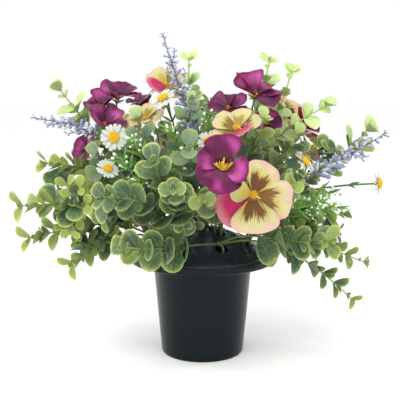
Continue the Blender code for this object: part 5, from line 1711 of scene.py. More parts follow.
def leaf_forms():
    """Leaves of unit size, flat to bent and shallow to cupped, each with its own wavy edge."""
    length, width = 25.0, 20.0
    for number, (bend, cup) in enumerate(LEAF_FORMS):
        draw = random.Random(number)
        waves, phase, size = draw.choice((1, 2)), draw.uniform(0, 6.28), draw.uniform(0.01, 0.03)

        def relief(across, reach, share, wide):
            wave = size * reach**3 * np.sin(2 * math.pi * waves * across + phase)
            return wave + crease(share, wide, 0.025, 0.12)

        shape = leaf_shape(length, width / length, bend, cup * LEAF_CUP)
        verts, faces, marks = fan(shape, 15, 3, 0.5, relief=relief)
        yield verts / (length, width, length), faces, marks


def lance_forms():
    """Narrow pointed leaves of unit size."""
    length, width = 20.0, 4.2
    for bend in (-0.12, 0.05, 0.16):
        verts, faces, marks = fan(lance_shape(length, width, bend), 15, 2, 0.45,
                                  relief=lambda across, reach, share, wide: crease(share, wide, 0.02, 0.3))
        yield verts / (length, width, length), faces, marks


def ray_forms():
    """Notched daisy petals of unit size."""
    for bend in (-0.06, 0.04, -0.14):
        shape = dict(petal_shape(14.0, 0.3, 0.05, bend, 0.0), widest=0.7, foot=0.45, swell=1.0, cup=0.1)

        def relief(across, reach, share, wide):
            return 0.012 * np.cos(3 * math.pi * wide) * np.clip(share, 0, 1)

        verts, faces, marks = fan(shape, 17, 3, 0.3, notch=0.09, relief=relief)
        yield verts / 14.0, faces, marks


def stamen_forms():
    """The plug of a heart, and a stamen with a knob at its end, of unit length."""
    yield turned_shape(((0, 0), (0.05, 0.85), (0.45, 1), (0.85, 0.6), (1, 0)), 10)
    yield turned_shape(((0, 0), (0.02, 0.34), (0.7, 0.26), (0.78, 0.42), (0.9, 0.46), (0.98, 0.28),
                        (1, 0)), 6)


def grain_forms():
    """The dome of a daisy's eye, and one of its grains."""
    line = [(math.sin(turn), math.cos(turn)) for turn in np.linspace(0, 1.35, 5)]
    yield turned_shape([(0, 0), *line, (1, 0)], 20)
    yield turned_shape(((-0.3, 0), (0, 0.8), (0.5, 0.9), (0.9, 0.5), (1, 0)), 6)


def floret_forms():
    """Knobbly lavender florets of unit size: a ribbed tube that opens in blunt lobes."""
    for flare, ribs in ((1.0, 4), (0.85, 5), (1.15, 3)):
        yield turned_shape(((0, 0), (0.06, 0.35), (0.35, 0.72), (0.58, 0.8), (0.66, 0.6), (0.78, flare),
                            (0.92, 0.85 * flare), (0.96, 0.4), (0.86, 0)), 10, ribs, 0.22)


def bud_forms():
    """A drop-shaped bud of unit size, pointed at its tip."""
    yield turned_shape(((0, 0), (0.06, 0.35), (0.3, 0.85), (0.52, 1), (0.75, 0.72), (0.92, 0.25), (1, 0)),
                       10, 5, 0.05)


SHAPE_MAKERS = {"leaf": leaf_forms, "lance": lance_forms, "daisy petal": ray_forms, "stamen": stamen_forms,
                "grain": grain_forms, "floret": floret_forms, "bud": bud_forms}


# Pieces


def nearest_form(shape):
    """The number of the leaf shape that bends and cups most as a planted leaf does."""
    gaps = [abs(shape["bend"] - bend) + abs(shape["cup"] - cup) for bend, cup in LEAF_FORMS]
    return gaps.index(min(gaps))


def leaf_rows(node, kind="leaf"):
    """Where the leaves of a node stand; those far out and high up are longer, and all turn to the viewer."""
    draw = random.Random(node + kind)
    to_viewer = SPRIG_TO_VIEWER if node == "light_sprigs" else TO_VIEWER
    rows = []
    for piece in planted_on(node, kind):
        shape, place = piece.shape, piece.place
        far = abs(place.translation.x) > FAR_LEAVES[0] and place.translation.z > FAR_LEAVES[1]
        length = shape["length"] * (FAR_LEAF_GROWTH if far else 1.0)
        if kind == "leaf":
            upright = place.to_3x3()
            place = facing_place(place.translation, upright @ Vector((1, 0, 0)),
                                 (upright @ Vector((0, 0, 1))).lerp(Vector((0, -1, 0.2)), to_viewer))
        pick = nearest_form(shape) if kind == "leaf" else draw.randrange(3)
        rows.append((place, (length, length * shape["width"] / shape["length"], length), pick,
                     draw.uniform(-0.28, 0.28), piece.share))
    return rows


def stem_lines(node):
    """The stems of a node as fine lines, greener and younger towards their tips."""
    lines = []
    for kind, steps, foot in (("stem", 5, 0.0), ("twig", 3, 0.4)):
        for number, piece in enumerate(planted_on(node, kind)):
            tip = 0.2 if kind == "stem" and number == 0 else 1.0
            lines.append((*smooth_path(piece.path, piece.radii, steps), foot, tip))
    return lines


def sepal_rows(middle, facing, count, length, width, spread, seed):
    """A ring of sepals behind a bloom."""
    draw = random.Random(seed)
    upright = facing_place(middle, facing, (0, 0, 1)).to_3x3()
    rows = []
    for number in range(count):
        turn = 2 * math.pi * (number + draw.uniform(-0.15, 0.15)) / count
        out = upright @ Vector((0.0, math.cos(turn), math.sin(turn)))
        size = draw.uniform(0.85, 1.15)
        rows.append((facing_place(middle + out * 1.2, out + facing * spread, out * spread - facing),
                     (length * size, width * size, length * size), draw.randrange(3),
                     draw.uniform(-0.2, 0.2), 0.4))
    return rows


def make_bush(node):
    """A leafy bush as fine stems and leaves."""
    leaves, light = bpy.context.scene.planter_leaves, node == "light_sprigs"
    shade = "light " if light else ""
    size = leaves.light_size if light else leaves.size
    piece = hand_over([stems_object(node + " stems", stem_lines(node), shade + "stem", leaves.stem),
                       scattered(node + " leaves", "leaf", leaf_rows(node), shade + "leaf", size)],
                      node)
    silver, warm = BUSH_LOOKS[node]
    mark_all(piece, silver=silver, warm=warm)


def petal_relief(draw, ruffle, calm, curl, folded):
    """The waves, pleats and rolled rim of one petal, as a height on its length."""
    big = ruffle * calm * draw.uniform(0.7, 1.3)
    waves, phase = draw.choice((1.0, 1.5, 2.0)), draw.uniform(0, 6.28)
    small, many, other = 0.3 * big, draw.choice((5, 6, 7)), draw.uniform(0, 6.28)
    roll, lean = draw.uniform(-0.09, 0.09) * calm, draw.uniform(-0.09, 0.09) * calm
    fold, deep = draw.uniform(0.2, 0.8), draw.uniform(-0.07, 0.07) * calm
    pleats, start = draw.choice((9, 11, 13)), draw.uniform(0, 6.28)

    def relief(across, reach, share, wide):
        turn = 2 * math.pi * across
        wave = big * reach**2.5 * np.sin(waves * turn + phase)
        wave = wave + small * reach**4 * np.sin(many * turn + other)
        pleat = 0.0025 * reach * (1.0 - 0.4 * reach) * np.sin(pleats * turn + start)
        dent = deep * np.exp(-((across - fold) / 0.07) ** 2) * reach**2
        ridge = abs(folded) * np.exp(-((across - (0.5 - math.copysign(0.39, folded))) / 0.06) ** 2)
        dent = dent + ridge * np.sin(math.pi * np.minimum(reach * 1.2, 1.0))
        folds = wave + pleat + crease(share, wide, 0.012, 0.16) + dent
        return folds + (roll + curl) * reach**4 + lean * wide * reach**2

    return relief


def make_pansy(name):
    """One pansy: fine petals round a heart."""
    pansy, colour = bpy.context.scene.planter_pansies, PANSIES[name][0]
    draw = random.Random(name + " looks")
    looks, forms = PETAL_LOOKS.get(name, PETAL_LOOKS[colour]), PETAL_FORMS.get(name)
    items = []
    for number, piece in enumerate(planted_on(name, "petal")):
        order, shape = piece.order, piece.shape
        # The third value, lit, is how brightly a petal is painted as lit: painted light and shade
        chance = (PETAL_CUP[colour] * draw.uniform(0.4, 1.2), 0.0, draw.uniform(0.1, 0.9), 0.0)
        cup, curl, lit, folded = forms[order] if forms else chance
        relief = petal_relief(draw, pansy.ruffle, PETAL_CALM[colour], curl, folded)
        frill = (draw.uniform(0.012, 0.028), draw.uniform(1.6, 3.4), draw.uniform(0, 6.28))
        fine = fan(dict(shape, cup=shape["cup"] + cup), PETAL_RAYS, PETAL_RINGS, pansy.thickness * 1000,
                   notch=draw.uniform(0.0, 0.04), relief=relief, frill=frill)
        petal = mesh_object(f"{name} petal {number}", *fine, place=piece.place)
        blotch, pink = looks[order]
        mark_all(petal, tone=draw.uniform(0, 1), blotch=blotch, pink=pink, lit=lit)
        petal.data.materials.append(finish_of(colour))
        items.append(petal)
    throat = planted_on(name, "throat")[0]
    middle, facing = throat.middle, throat.facing
    rows = [(facing_place(middle - facing * 0.8, facing, (0, 0, 1)), (2.4, 2.6, 2.6), 0, 0.0, 0.0)]
    if name not in HEARTS:
        rows += heart_rows(middle + facing * 0.4, facing, PLAIN_STAMENS, 4.6, name)
    items.append(scattered(name + " heart", "stamen", rows, "heart"))
    hand_over(items, name)


def stamen_row(draw, spot, way, length, width):
    """One stamen."""
    return (facing_place(spot, way, way.orthogonal()), (length, width, width), 1,
            draw.uniform(-0.2, 0.2), draw.uniform(0, 1))


def heart_rows(base, facing, count, length, seed):
    """A fan of stamens on a heart."""
    draw = random.Random(seed)
    upright = facing_place(base, facing, (0, 0, 1)).to_3x3()
    rows = []
    for number in range(count):
        lean = math.sqrt((number + 0.5) / count) * 1.05
        turn = 2.4 * number
        way = upright @ Vector((math.cos(lean), math.sin(lean) * math.cos(turn),
                                math.sin(lean) * math.sin(turn)))
        rows.append(stamen_row(draw, base, way, length * draw.uniform(0.8, 1.15), 1.2))
    return rows


def crest_rows(base, facing, count, seed):
    """A crescent of stamens that rise from below the middle of a purple heart."""
    draw = random.Random(seed)
    upright = facing_place(base, facing, (0, 0, 1)).to_3x3()
    rows = []
    for number in range(count):
        across = 2.0 * (number + 0.5) / count - 1.0
        lift = draw.uniform(-0.2, 1.0)
        spot = base + upright @ Vector((0.0, 6.4 * across, 4.0 * across**2 - 4.4))
        way = upright @ Vector((0.75, 0.75 * across, 0.35 + 0.8 * lift))
        length = draw.uniform(7.0, 11.5) * (1.0 - 0.35 * abs(across))
        rows.append(stamen_row(draw, spot, way, length, 1.15))
    return rows


def make_heart(node):
    """The open heart of a pansy: a fuzzy plug, stamens and a curled stigma."""
    heart = planted_on(node, "heart")[0]
    facing = heart.facing
    base = heart.middle + facing * (THROAT_FRONT + 0.2)
    upright = facing_place(base, facing, (0, 0, 1))
    if node.startswith("purple"):
        size, down = (2.4, 4.6, 2.6), Vector((0, 0.1, 1.1))
        rows = crest_rows(base + facing * 0.6, facing, CREST_STAMENS, node)
    else:
        size, down = (3.8, 4.0, 4.0), Vector((0, 1.0, -0.5))
        rows = heart_rows(base + facing * 1.0, facing, HEART_STAMENS, 4.8, node)
    down = upright.to_3x3() @ down
    curl = [base + facing * 2.0] + [base + facing * out + down * low for out, low in STIGMA]
    line = (*smooth_path(curl, (0.9, 0.75, 0.7, 0.8, 0.5), 4), 0.6, 1.0)
    hand_over([scattered(node + " stamens", "stamen", [(upright, size, 0, 0.0, 0.0)] + rows, "heart"),
               stems_object(node + " stigma", [line], "heart")], node)


def make_daisy(name):
    """One daisy: a ring of petals in two layers, and a domed eye of grains."""
    daisy = bpy.context.scene.planter_daisies
    rays = planted_on(name + "_petals", "rays")[0]
    place, radius = rays.place, rays.radius
    draw = random.Random(name + " petals")
    facing = place.to_3x3() @ Vector((1, 0, 0))
    rows = []
    for number in range(daisy.petals):
        turn = 2 * math.pi * (number + draw.uniform(-0.12, 0.12)) / daisy.petals
        out = place.to_3x3() @ Vector((0.0, math.cos(turn), math.sin(turn)))
        layer = 0.25 if number % 2 else -0.45
        size = radius * daisy.reach * draw.uniform(0.9, 1.05)
        lift = facing * draw.uniform(-0.06, 0.14)
        rows.append((facing_place(place.translation + facing * layer, out + lift, facing),
                     (size, size * draw.uniform(0.78, 0.96), size), draw.randrange(3),
                     draw.uniform(0, 1), 0.0))
    hand_over([scattered(name + " petals", "daisy petal", rows, "daisy")], name + "_petals")
    eye = planted_on(name + "_eye", "eye")[0]
    place, radius = eye.place, eye.radius * daisy.eye_size
    height = EYE_H / EYE_R * eye.radius * EYE_FILL[0]
    wide = radius * EYE_FILL[1]
    rows = [(place, (height, wide, wide), 0, 0.0, 0.0)]
    for number in range(daisy.grains):
        share = (number + 0.5) / daisy.grains
        out, turn = math.sqrt(share), GOLDEN_TURN * number
        spot = Vector((height * math.sqrt(max(0.0, 1.0 - 0.94 * share)), wide * out * math.cos(turn),
                       wide * out * math.sin(turn)))
        way = Vector((1.0, out * math.cos(turn), out * math.sin(turn)))
        size = 0.62 * radius / 5.0 * draw.uniform(0.8, 1.2)
        rows.append((place @ facing_place(spot, way, way.orthogonal()), (size * 1.5, size, size), 1,
                     draw.uniform(0, 1) * (0.4 + out), 0.0))
    hand_over([scattered(name + " eye", "grain", rows, "eye")], name + "_eye")


def make_bloom_stems(node):
    """The stems of some blooms, with a calyx of sepals under each."""
    back, *sepals = SEPALS[node.split("_")[0]]
    rows = leaf_rows(node, "lance")
    for number, piece in enumerate(planted_on(node, "stem")[1:]):
        neck, end = piece.path[-2:]
        facing = (end - neck).normalized()
        rows += sepal_rows(end - facing * back, facing, *sepals, node + str(number))
    hand_over([stems_object(node + " stems", stem_lines(node), "bloom stem"),
               scattered(node + " sepals", "lance", rows, "calyx")], node)


def make_lavender(node):
    """A spike of lavender, forked at its tip."""
    draw = random.Random(node + " looks")
    lines = stem_lines(node)
    before, tip = planted_on(node, "stem")[2].path[-2:]
    way = (tip - before).normalized()
    for side in (-1, 1):
        fork = [tip - way * 4.0, tip - way * 1.0 + Vector((side * 0.8, 0, 0.2)),
                tip + way * 1.5 + Vector((side * 2.2, 0.6 * side, 0.0))]
        lines.append((*smooth_path(fork, (0.5, 0.45, 0.3), 3), 0.8, 1.0))
    rows, slim = [], 1.0 if node == "lavender_right" else 0.86
    for piece in planted_on(node, "floret"):
        size = bpy.context.scene.planter_lavender.size * slim * (1.12 - 0.35 * piece.share)
        radius = piece.radius * size * 0.9
        rows.append((facing_place(piece.base, piece.way, piece.way.orthogonal()),
                     (piece.length * size * 1.3, radius, radius), draw.randrange(3),
                     draw.uniform(-0.3, 0.3), piece.share))
    hand_over([stems_object(node + " stems", lines, "lavender stem"),
               scattered(node + " florets", "floret", rows, "floret")], node)


def make_bud_spray(node):
    """A spray of drop-shaped buds on thin stalks, with narrow leaves."""
    lines, rows = stem_lines(node), []
    draw = random.Random(node + " looks")
    for piece in planted_on(node, "bud"):
        base, way = piece.base, Vector(piece.way).normalized()
        length = piece.length
        radius = min(BUD_R, 0.11 * length + 0.25)
        side = way.orthogonal() * draw.uniform(-0.06, 0.06) * length
        stalk = [base, base + way * length * 0.3 + side, base + way * length * 0.6]
        lines.append((*smooth_path(stalk, (0.4, 0.32, 0.28), 4), 0.6, 1.0))
        rows.append((facing_place(base + way * length * 0.56, way, way.orthogonal()),
                     (length * 0.44, radius, radius), 0, draw.uniform(-0.2, 0.2), 0.0))
    hand_over([stems_object(node + " stems", lines, "bud stem"),
               scattered(node + " buds", "bud", rows, "bud", bpy.context.scene.planter_sprays.size),
               scattered(node + " leaves", "lance", leaf_rows(node, "lance"), "bud leaf")], node)


def rounded(profile, cut, steps=4):
    """A profile with its corners rounded."""
    points = [np.array(point, dtype=float) for point in profile]
    fine = [points[0]]
    for before, corner, after in zip(points, points[1:], points[2:]):
        back, ahead = before - corner, after - corner
        reach = min(cut, 0.45 * np.linalg.norm(back), 0.45 * np.linalg.norm(ahead))
        start = corner + back / np.linalg.norm(back) * reach
        end = corner + ahead / np.linalg.norm(ahead) * reach
        for t in np.linspace(0.0, 1.0, steps):
            fine.append(start * (1 - t) ** 2 + corner * 2 * t * (1 - t) + end * t * t)
    return fine + [points[-1]]


def turned_piece(name, profile):
    """A turned body from a profile in millimetres, facing outwards; its finish has its name."""
    carrier = mesh_object(name + " profile", [(x, 0.0, z) for x, z in profile], [],
                          edges=[(index, index + 1) for index in range(len(profile) - 1)])
    return face_out(grown(name + " body", carrier, turning_tree(), finish=finish_of(name),
                          sides=bpy.context.scene.planter_pot.sides))


def face_out(item):
    """Turn the faces of a closed body outwards and keep its corners crisp."""
    shape = bmesh.new()
    shape.from_mesh(item.data)
    bmesh.ops.recalc_face_normals(shape, faces=shape.faces)
    shape.to_mesh(item.data)
    shape.free()
    item.data.set_sharp_from_angle(angle=math.radians(CORNER_ANGLE))
    return item


def make_pot():
    """The pot: a tapered cup with a foot ring and a broad rim that ends in a fat bead round the lid."""
    inner_floor, inner_neck = BASE_R - WALL, NECK_R - WALL
    profile = rounded((
        (0.0, 1.2), (BASE_R - 9.0, 1.2), (BASE_R - 8.0, 0.0), (BASE_R - 1.0, 0.0), (BASE_R, 3.0),
        (NECK_R, NECK_Z - 3.0), (NECK_R + 4.0, NECK_Z + 2.6), (RIM_R - 0.2, NECK_Z + 3.0),
        (RIM_R, POT_TOP_Z + 0.2), (LID_EDGE_R + 1.6, POT_TOP_Z - 0.6), (LID_EDGE_R + 1.0, RIM_TOP_Z),
        (inner_neck + 4.0, RIM_TOP_Z), (inner_neck, RIM_TOP_Z - 3.0), (inner_floor, FLOOR_Z), (0.0, FLOOR_Z),
    ), bpy.context.scene.planter_pot.lip * 1000, 9)
    hand_over([turned_piece("pot", profile)], "pot")


def make_lid():
    """The lid: a thin pierced dome with a turned edge and a collar round each hole."""
    foot = RIM_TOP_Z + FIT
    under = [(radius, lid_height(radius) - LID_WALL) for radius in np.linspace(0.0, LID_UNDER_R, 16)]
    over = [(radius, lid_height(radius)) for radius in np.linspace(LID_OVER_R, 0.0, 20)]
    edge = rounded(((LID_LANDING_R - 3.0, foot + 1.2), (LID_LANDING_R, foot), (LID_EDGE_R - 0.4, foot),
                    (LID_EDGE_R, foot + 1.6), (LID_EDGE_R - 3.0, foot + 2.8)), 1.2)
    dome_piece = turned_piece("lid", [tuple(point) for point in under + edge + over])
    places = mesh_object("lid holes", [(x, y, DRILL_Z) for x, y in HOLES.values()], [])
    pierced = face_out(grown("lid body", dome_piece, piercing_tree(), places=places, radius=LID_HOLE_R * MM,
                             finish=finish_of("lid")))
    drop(places)
    lines = []
    for x, y in HOLES.values():
        path = []
        for turn in np.linspace(0.0, 2 * math.pi, 33):
            spot_x, spot_y = x + COLLAR_R * math.cos(turn), y + COLLAR_R * math.sin(turn)
            path.append(Vector((spot_x, spot_y, lid_height(math.hypot(spot_x, spot_y)))))
        lines.append((path, [COLLAR_WIRE_R] * len(path), 0.0, 0.0))
    hand_over([pierced, stems_object("lid collars", lines, "lid")], "lid")


# The add-on


def colour(name, description, red, green, blue):
    """A colour that a user may change."""
    return FloatVectorProperty(name=name, description=description, subtype="COLOR", size=3, min=0.0, max=1.0,
                               default=linear(red, green, blue))


def factor(name, description, default, low, high):
    """A share or a size against the solids that a user may change."""
    return FloatProperty(name=name, description=description, default=default, min=low, max=high,
                         subtype="FACTOR")


def count(name, description, default, low, high):
    """A whole number that a user may change."""
    return IntProperty(name=name, description=description, default=default, min=low, max=high)


class PotSettings(PropertyGroup):
    """Sizes and colour of the pot and its lid."""

    sides: count("Sides", "Flats round the pot and the lid", 128, 24, 256)
    lip: FloatProperty(name="Lip", description="How far the corners are rounded", default=0.0055, min=0.0005,
                       max=0.006, unit="LENGTH")
    roughness: factor("Roughness", "How dull the plastic is", 0.26, 0.05, 1.0)
    dust: factor("Dust", "How much fine dust lights the edges", 0.11, 0.0, 1.0)
    plastic: colour("Pot", "Colour of the pot", 23, 27, 29)
    # The lid is the pot's plastic painted lighter: painted light against the shade of the foliage over it
    lid: colour("Lid", "Colour of the lid", 40, 50, 58)


class LeafSettings(PropertyGroup):
    """Sizes and colours of the leafy stems."""

    size: factor("Leaf size", "Size of the leaves against the solids", 1.06, 0.8, 1.1)
    light_size: factor("Light leaf size", "Size of the light leaves against the solids", 1.3, 0.8, 1.5)
    stem: factor("Stem thickness", "Thickness of the stems against the solids", 0.8, 0.5, 1.1)
    frost: factor("Bloom", "How much pale bloom lies on the leaves", 0.55, 0.0, 1.0)
    centre: colour("Centre", "Colour of the middle of a leaf", 86, 116, 78)
    rim: colour("Rim", "Colour of a leaf's edge and veins", 186, 198, 112)
    tip: colour("Young leaf", "Colour of the leaves at a tip", 150, 168, 80)
    bloom: colour("Pale bloom", "Colour of the bloom on a leaf", 132, 156, 134)
    back: colour("Leaf back", "Colour of the back of a leaf", 118, 140, 100)
    # Light leaf also paints the painted light on the bush leaves high up and far out
    light: colour("Light leaf", "Colour of the light sprigs", 196, 220, 148)
    light_rim: colour("Light rim", "Colour of the light sprigs' edges", 224, 238, 184)


class PansySettings(PropertyGroup):
    """Sizes and colours of the pansies."""

    thickness: FloatProperty(name="Petal thickness", description="Thickness of a petal", default=0.0004,
                             min=0.0002, max=0.001, unit="LENGTH", precision=5)
    ruffle: factor("Ruffle", "Height of the waves against the petal's length", 0.055, 0.0, 0.12)
    purple: colour("Purple", "Main colour of purple petals", 100, 12, 56)
    # Violet also paints the satin highlight of purple petals, and plum their painted shade
    violet: colour("Violet", "Lustre and rim of purple petals", 184, 78, 152)
    plum: colour("Plum", "Dark parts of purple petals", 52, 5, 28)
    haze: colour("Haze", "Streaks near a purple heart", 84, 44, 44)
    crimson: colour("Crimson", "Backs of the petals", 184, 30, 92)
    yellow: colour("Yellow", "Inner parts of yellow petals", 206, 184, 72)
    cream: colour("Cream", "Pale outer parts of yellow petals", 200, 196, 136)
    vein: colour("Vein", "Fine veins of yellow petals", 96, 66, 42)
    blotch: colour("Blotch", "Blotch of yellow petals", 110, 68, 36)
    rose: colour("Rose", "Pink rims and backs of yellow petals", 216, 152, 166)
    heart: colour("Heart", "Colour of the hearts", 236, 194, 52)


class DaisySettings(PropertyGroup):
    """Counts and colours of the daisies."""

    petals: count("Petals", "Petals of one daisy", 17, 8, 24)
    grains: count("Grains", "Grains on one eye", 90, 20, 200)
    reach: factor("Petal reach", "Length of the petals against the solids", 1.08, 0.8, 1.2)
    eye_size: factor("Eye size", "Width of the eye against the solids", 1.18, 0.8, 1.3)
    petal: colour("Petal", "Colour of the petals", 200, 205, 196)
    eye: colour("Eye", "Colour of the eye", 240, 194, 34)


class LavenderSettings(PropertyGroup):
    """Size and colours of the lavender."""

    size: factor("Floret size", "Size of the florets against the solids", 1.22, 0.8, 1.6)
    floret: colour("Floret", "Light parts of the florets", 208, 214, 228)
    deep: colour("Shade", "Dark parts of the florets", 144, 150, 184)
    twig: colour("Twig", "Colour of the stems", 100, 108, 104)


class SpraySettings(PropertyGroup):
    """Sizes and colours of the sprays of buds."""

    size: factor("Bud size", "Size of the buds against the solids", 1.0, 0.7, 1.1)
    bud: colour("Bud", "Colour of the buds", 232, 242, 220)
    leaf: colour("Leaf", "Colour of the narrow leaves", 100, 156, 50)
    stem: colour("Stem", "Colour of the bloom stems", 88, 126, 60)


class StageSettings(PropertyGroup):
    """The floor, the light and the camera."""

    key: FloatProperty(name="Key light", description="Power of the main light", default=15.0, min=0.0,
                       max=200.0, unit="POWER")
    fill: FloatProperty(name="Fill light", description="Power of each side light", default=5.0, min=0.0,
                        max=100.0, unit="POWER")
    sky: factor("Sky", "Strength of the even light", 1.0, 0.0, 3.0)
    lens: FloatProperty(name="Lens", description="Focal length of the camera", default=75.8, min=20.0,
                        max=200.0, unit="CAMERA")
    pitch: FloatProperty(name="Pitch", description="How far the camera looks down",
                         default=math.radians(9.17), min=0.0, max=1.5, subtype="ANGLE")


def finish_of(label):
    """A finish by its name; all are made when the first is needed."""
    if not FINISHES:
        scene = bpy.context.scene
        leaves, pansy, sprays = scene.planter_leaves, scene.planter_pansies, scene.planter_sprays
        lavender, daisy, pot = scene.planter_lavender, scene.planter_daisies, scene.planter_pot
        # The heights of the painted highlight along the top of the pot's bead
        painted_bead_highlight = ((POT_TOP_Z - 2.4) * MM, POT_TOP_Z * MM)
        FINISHES.update({
            "pot": plastic_finish("Pot plastic", pot.plastic, pot, 0.17, painted_bead_highlight),
            # The lid's paler colour is painted light against the shade over it
            "lid": plastic_finish("Lid plastic", pot.lid, pot, 0.45),
            "leaf": leaf_finish("Eucalyptus leaf", leaves, leaves.centre, leaves.rim, leaves.tip),
            "light leaf": leaf_finish("Light leaf", leaves, leaves.light, leaves.light_rim,
                                      linear(200, 228, 140), 0.35),
            "calyx": leaf_finish("Sepal", leaves, sprays.stem, linear(110, 150, 76), sprays.stem),
            "bud leaf": leaf_finish("Narrow leaf", leaves, sprays.leaf, linear(140, 190, 80), sprays.leaf),
            "stem": stem_finish("Leafy stem", linear(104, 128, 66), linear(150, 164, 88)),
            "light stem": stem_finish("Light stem", linear(140, 146, 72), linear(170, 190, 96)),
            "bloom stem": stem_finish("Bloom stem", sprays.stem, linear(96, 138, 66)),
            "lavender stem": stem_finish("Lavender stem", lavender.twig, linear(112, 112, 122)),
            "bud stem": stem_finish("Bud stem", linear(96, 148, 60), linear(150, 190, 100)),
            "purple": purple_finish(pansy), "yellow": yellow_finish(pansy), "heart": heart_finish(pansy),
            "daisy": daisy_finish(daisy), "eye": eye_finish(daisy), "floret": lavender_finish(lavender),
            "bud": bud_finish(sprays),
        })
    return FINISHES[label]


def make_all(maker, names):
    """Make several pieces and delete the shapes that were scattered."""
    for name in names:
        maker(name)
    put_away()
    return {"FINISHED"}


class PLANTER_OT_pot(Operator):
    """Make the pot and its pierced lid"""

    bl_idname = "planter.pot"
    bl_label = "Pot and lid"

    def execute(self, context):
        make_pot()
        make_lid()
        return {"FINISHED"}


class PLANTER_OT_foam(Operator):
    """Give the block in the pot its finish"""

    bl_idname = "planter.foam"
    bl_label = "Foam block"

    def execute(self, context):
        for slot in frame["nodes"]["foam_block"].material_slots:
            slot.material = foam_finish()
        return {"FINISHED"}


class PLANTER_OT_leaves(Operator):
    """Make the leafy bushes"""

    bl_idname = "planter.leaves"
    bl_label = "Leafy bushes"

    def execute(self, context):
        return make_all(make_bush, [node for node in BUSHES if node != "light_sprigs"])


class PLANTER_OT_sprigs(Operator):
    """Make the light green sprigs above the blooms"""

    bl_idname = "planter.sprigs"
    bl_label = "Light sprigs"

    def execute(self, context):
        return make_all(make_bush, ["light_sprigs"])


class PLANTER_OT_purple_pansies(Operator):
    """Make the purple pansies"""

    bl_idname = "planter.purple_pansies"
    bl_label = "Purple pansies"

    def execute(self, context):
        return make_all(make_pansy, [name for name in PANSIES if name.startswith("purple")])


class PLANTER_OT_yellow_pansies(Operator):
    """Make the yellow pansies"""

    bl_idname = "planter.yellow_pansies"
    bl_label = "Yellow pansies"

    def execute(self, context):
        return make_all(make_pansy, [name for name in PANSIES if name.startswith("yellow")])


class PLANTER_OT_hearts(Operator):
    """Make the open hearts of the front pansies"""

    bl_idname = "planter.hearts"
    bl_label = "Pansy hearts"

    def execute(self, context):
        return make_all(make_heart, [name.replace("pansy", "heart") for name in HEARTS])


class PLANTER_OT_daisies(Operator):
    """Make the daisies"""

    bl_idname = "planter.daisies"
    bl_label = "Daisies"

    def execute(self, context):
        return make_all(make_daisy, DAISIES)


class PLANTER_OT_bloom_stems(Operator):
    """Make the stems and calyxes of the blooms"""

    bl_idname = "planter.bloom_stems"
    bl_label = "Bloom stems"

    def execute(self, context):
        return make_all(make_bloom_stems, BLOOM_STEMS)


class PLANTER_OT_lavender(Operator):
    """Make the spikes of lavender"""

    bl_idname = "planter.lavender"
    bl_label = "Lavender"

    def execute(self, context):
        return make_all(make_lavender, LAVENDER)


class PLANTER_OT_sprays(Operator):
    """Make the sprays of buds"""

    bl_idname = "planter.sprays"
    bl_label = "Bud sprays"

    def execute(self, context):
        return make_all(make_bud_spray, BUD_SPRAYS)


def soft_light(name, spot, size, power, colour):
    """A large soft light that looks at the middle of the planter."""
    data = bpy.data.lights.new(name, "AREA")
    data.shape = "RECTANGLE"
    data.size, data.size_y = size
    data.energy = power
    data.color = colour
    item = linked(name, data)
    item.location = spot
    item.rotation_euler = (LIGHT_AIM - Vector(spot)).to_track_quat("-Z", "Y").to_euler()


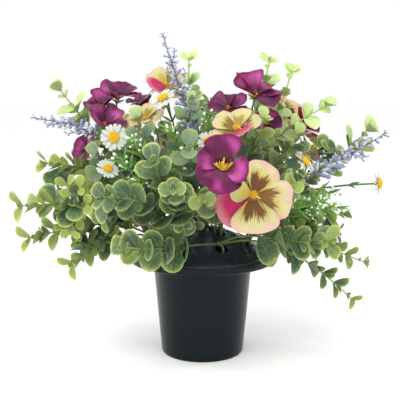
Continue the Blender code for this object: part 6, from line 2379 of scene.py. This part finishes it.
class PLANTER_OT_stage(Operator):
    """Set the floor, the lights and the camera"""

    bl_idname = "planter.stage"
    bl_label = "Stage"

    def execute(self, context):
        scene, stage = context.scene, context.scene.planter_stage
        corners = [(x * FLOOR_HALF, y * FLOOR_HALF, 0) for x, y in ((-1, -1), (1, -1), (1, 1), (-1, 1))]
        floor = mesh_object("floor", corners, [(0, 1, 2, 3)])
        white = Finish("Floor", 0.9)
        speck = white.noise(white.place(), 40.0, 2.0)
        floor.data.materials.append(white.done(white.mix(speck, (0.97,) * 3, (1.0,) * 3)))
        soft_light("key", (-0.45, -1.0, 1.35), (1.5, 0.6), stage.key, (1.0, 0.98, 0.95))
        soft_light("left", (-1.15, 0.5, 0.3), (0.22, 0.9), stage.fill, (1.0, 1.0, 1.0))
        soft_light("right", (1.15, 0.4, 0.3), (0.22, 0.9), stage.fill, (1.0, 1.0, 1.0))
        sky = bpy.data.worlds.new("Studio")
        sky.use_nodes = True
        light = sky.node_tree.nodes["Background"].inputs
        light["Color"].default_value, light["Strength"].default_value = (1.0,) * 4, stage.sky
        scene.world = sky
        scene.view_settings.view_transform = "Standard"
        camera = bpy.data.cameras.new("camera")
        camera.lens, camera.sensor_width = stage.lens, 36.0
        eye = linked("camera", camera)
        eye.location = VIEWPOINT * MM
        eye.rotation_euler = (math.pi / 2 - stage.pitch, 0.0, 0.0)
        scene.camera = eye
        return {"FINISHED"}


class PLANTER_PT_panel(Panel):
    """The makers of the planter's pieces"""

    bl_idname = "PLANTER_PT_panel"
    bl_label = "Mixed Flower Planter"
    bl_space_type = "VIEW_3D"
    bl_region_type = "UI"
    bl_category = "Planter"

    def draw(self, context):
        for maker in MAKERS:
            self.layout.operator(maker.bl_idname)
        for group in SETTINGS:
            settings = getattr(context.scene, group)
            box = self.layout.box()
            for label in settings.bl_rna.properties.keys():
                if label not in ("rna_type", "name"):
                    box.prop(settings, label)


MAKERS = (PLANTER_OT_pot, PLANTER_OT_foam, PLANTER_OT_bloom_stems, PLANTER_OT_leaves, PLANTER_OT_sprigs,
          PLANTER_OT_purple_pansies, PLANTER_OT_yellow_pansies, PLANTER_OT_hearts, PLANTER_OT_daisies,
          PLANTER_OT_lavender, PLANTER_OT_sprays, PLANTER_OT_stage)
SETTINGS = {"planter_pot": PotSettings, "planter_leaves": LeafSettings, "planter_pansies": PansySettings,
            "planter_daisies": DaisySettings, "planter_lavender": LavenderSettings,
            "planter_sprays": SpraySettings, "planter_stage": StageSettings}


def register():
    """Register the settings, the makers and the panel."""
    for kind in (*SETTINGS.values(), *MAKERS, PLANTER_PT_panel):
        bpy.utils.register_class(kind)
    for label, kind in SETTINGS.items():
        setattr(bpy.types.Scene, label, PointerProperty(type=kind))


def unregister():
    """Take the settings, the makers and the panel away again."""
    for label in SETTINGS:
        delattr(bpy.types.Scene, label)
    for kind in (PLANTER_PT_panel, *reversed(MAKERS), *reversed(SETTINGS.values())):
        bpy.utils.unregister_class(kind)


def main():
    """Make every piece and the stage."""
    register()
    ops = bpy.ops.planter
    ops.pot()
    ops.foam()
    ops.bloom_stems()
    ops.leaves()
    ops.sprigs()
    ops.purple_pansies()
    ops.yellow_pansies()
    ops.hearts()
    ops.daisies()
    ops.lavender()
    ops.sprays()
    ops.stage()


if __name__ == "__main__":
    main()
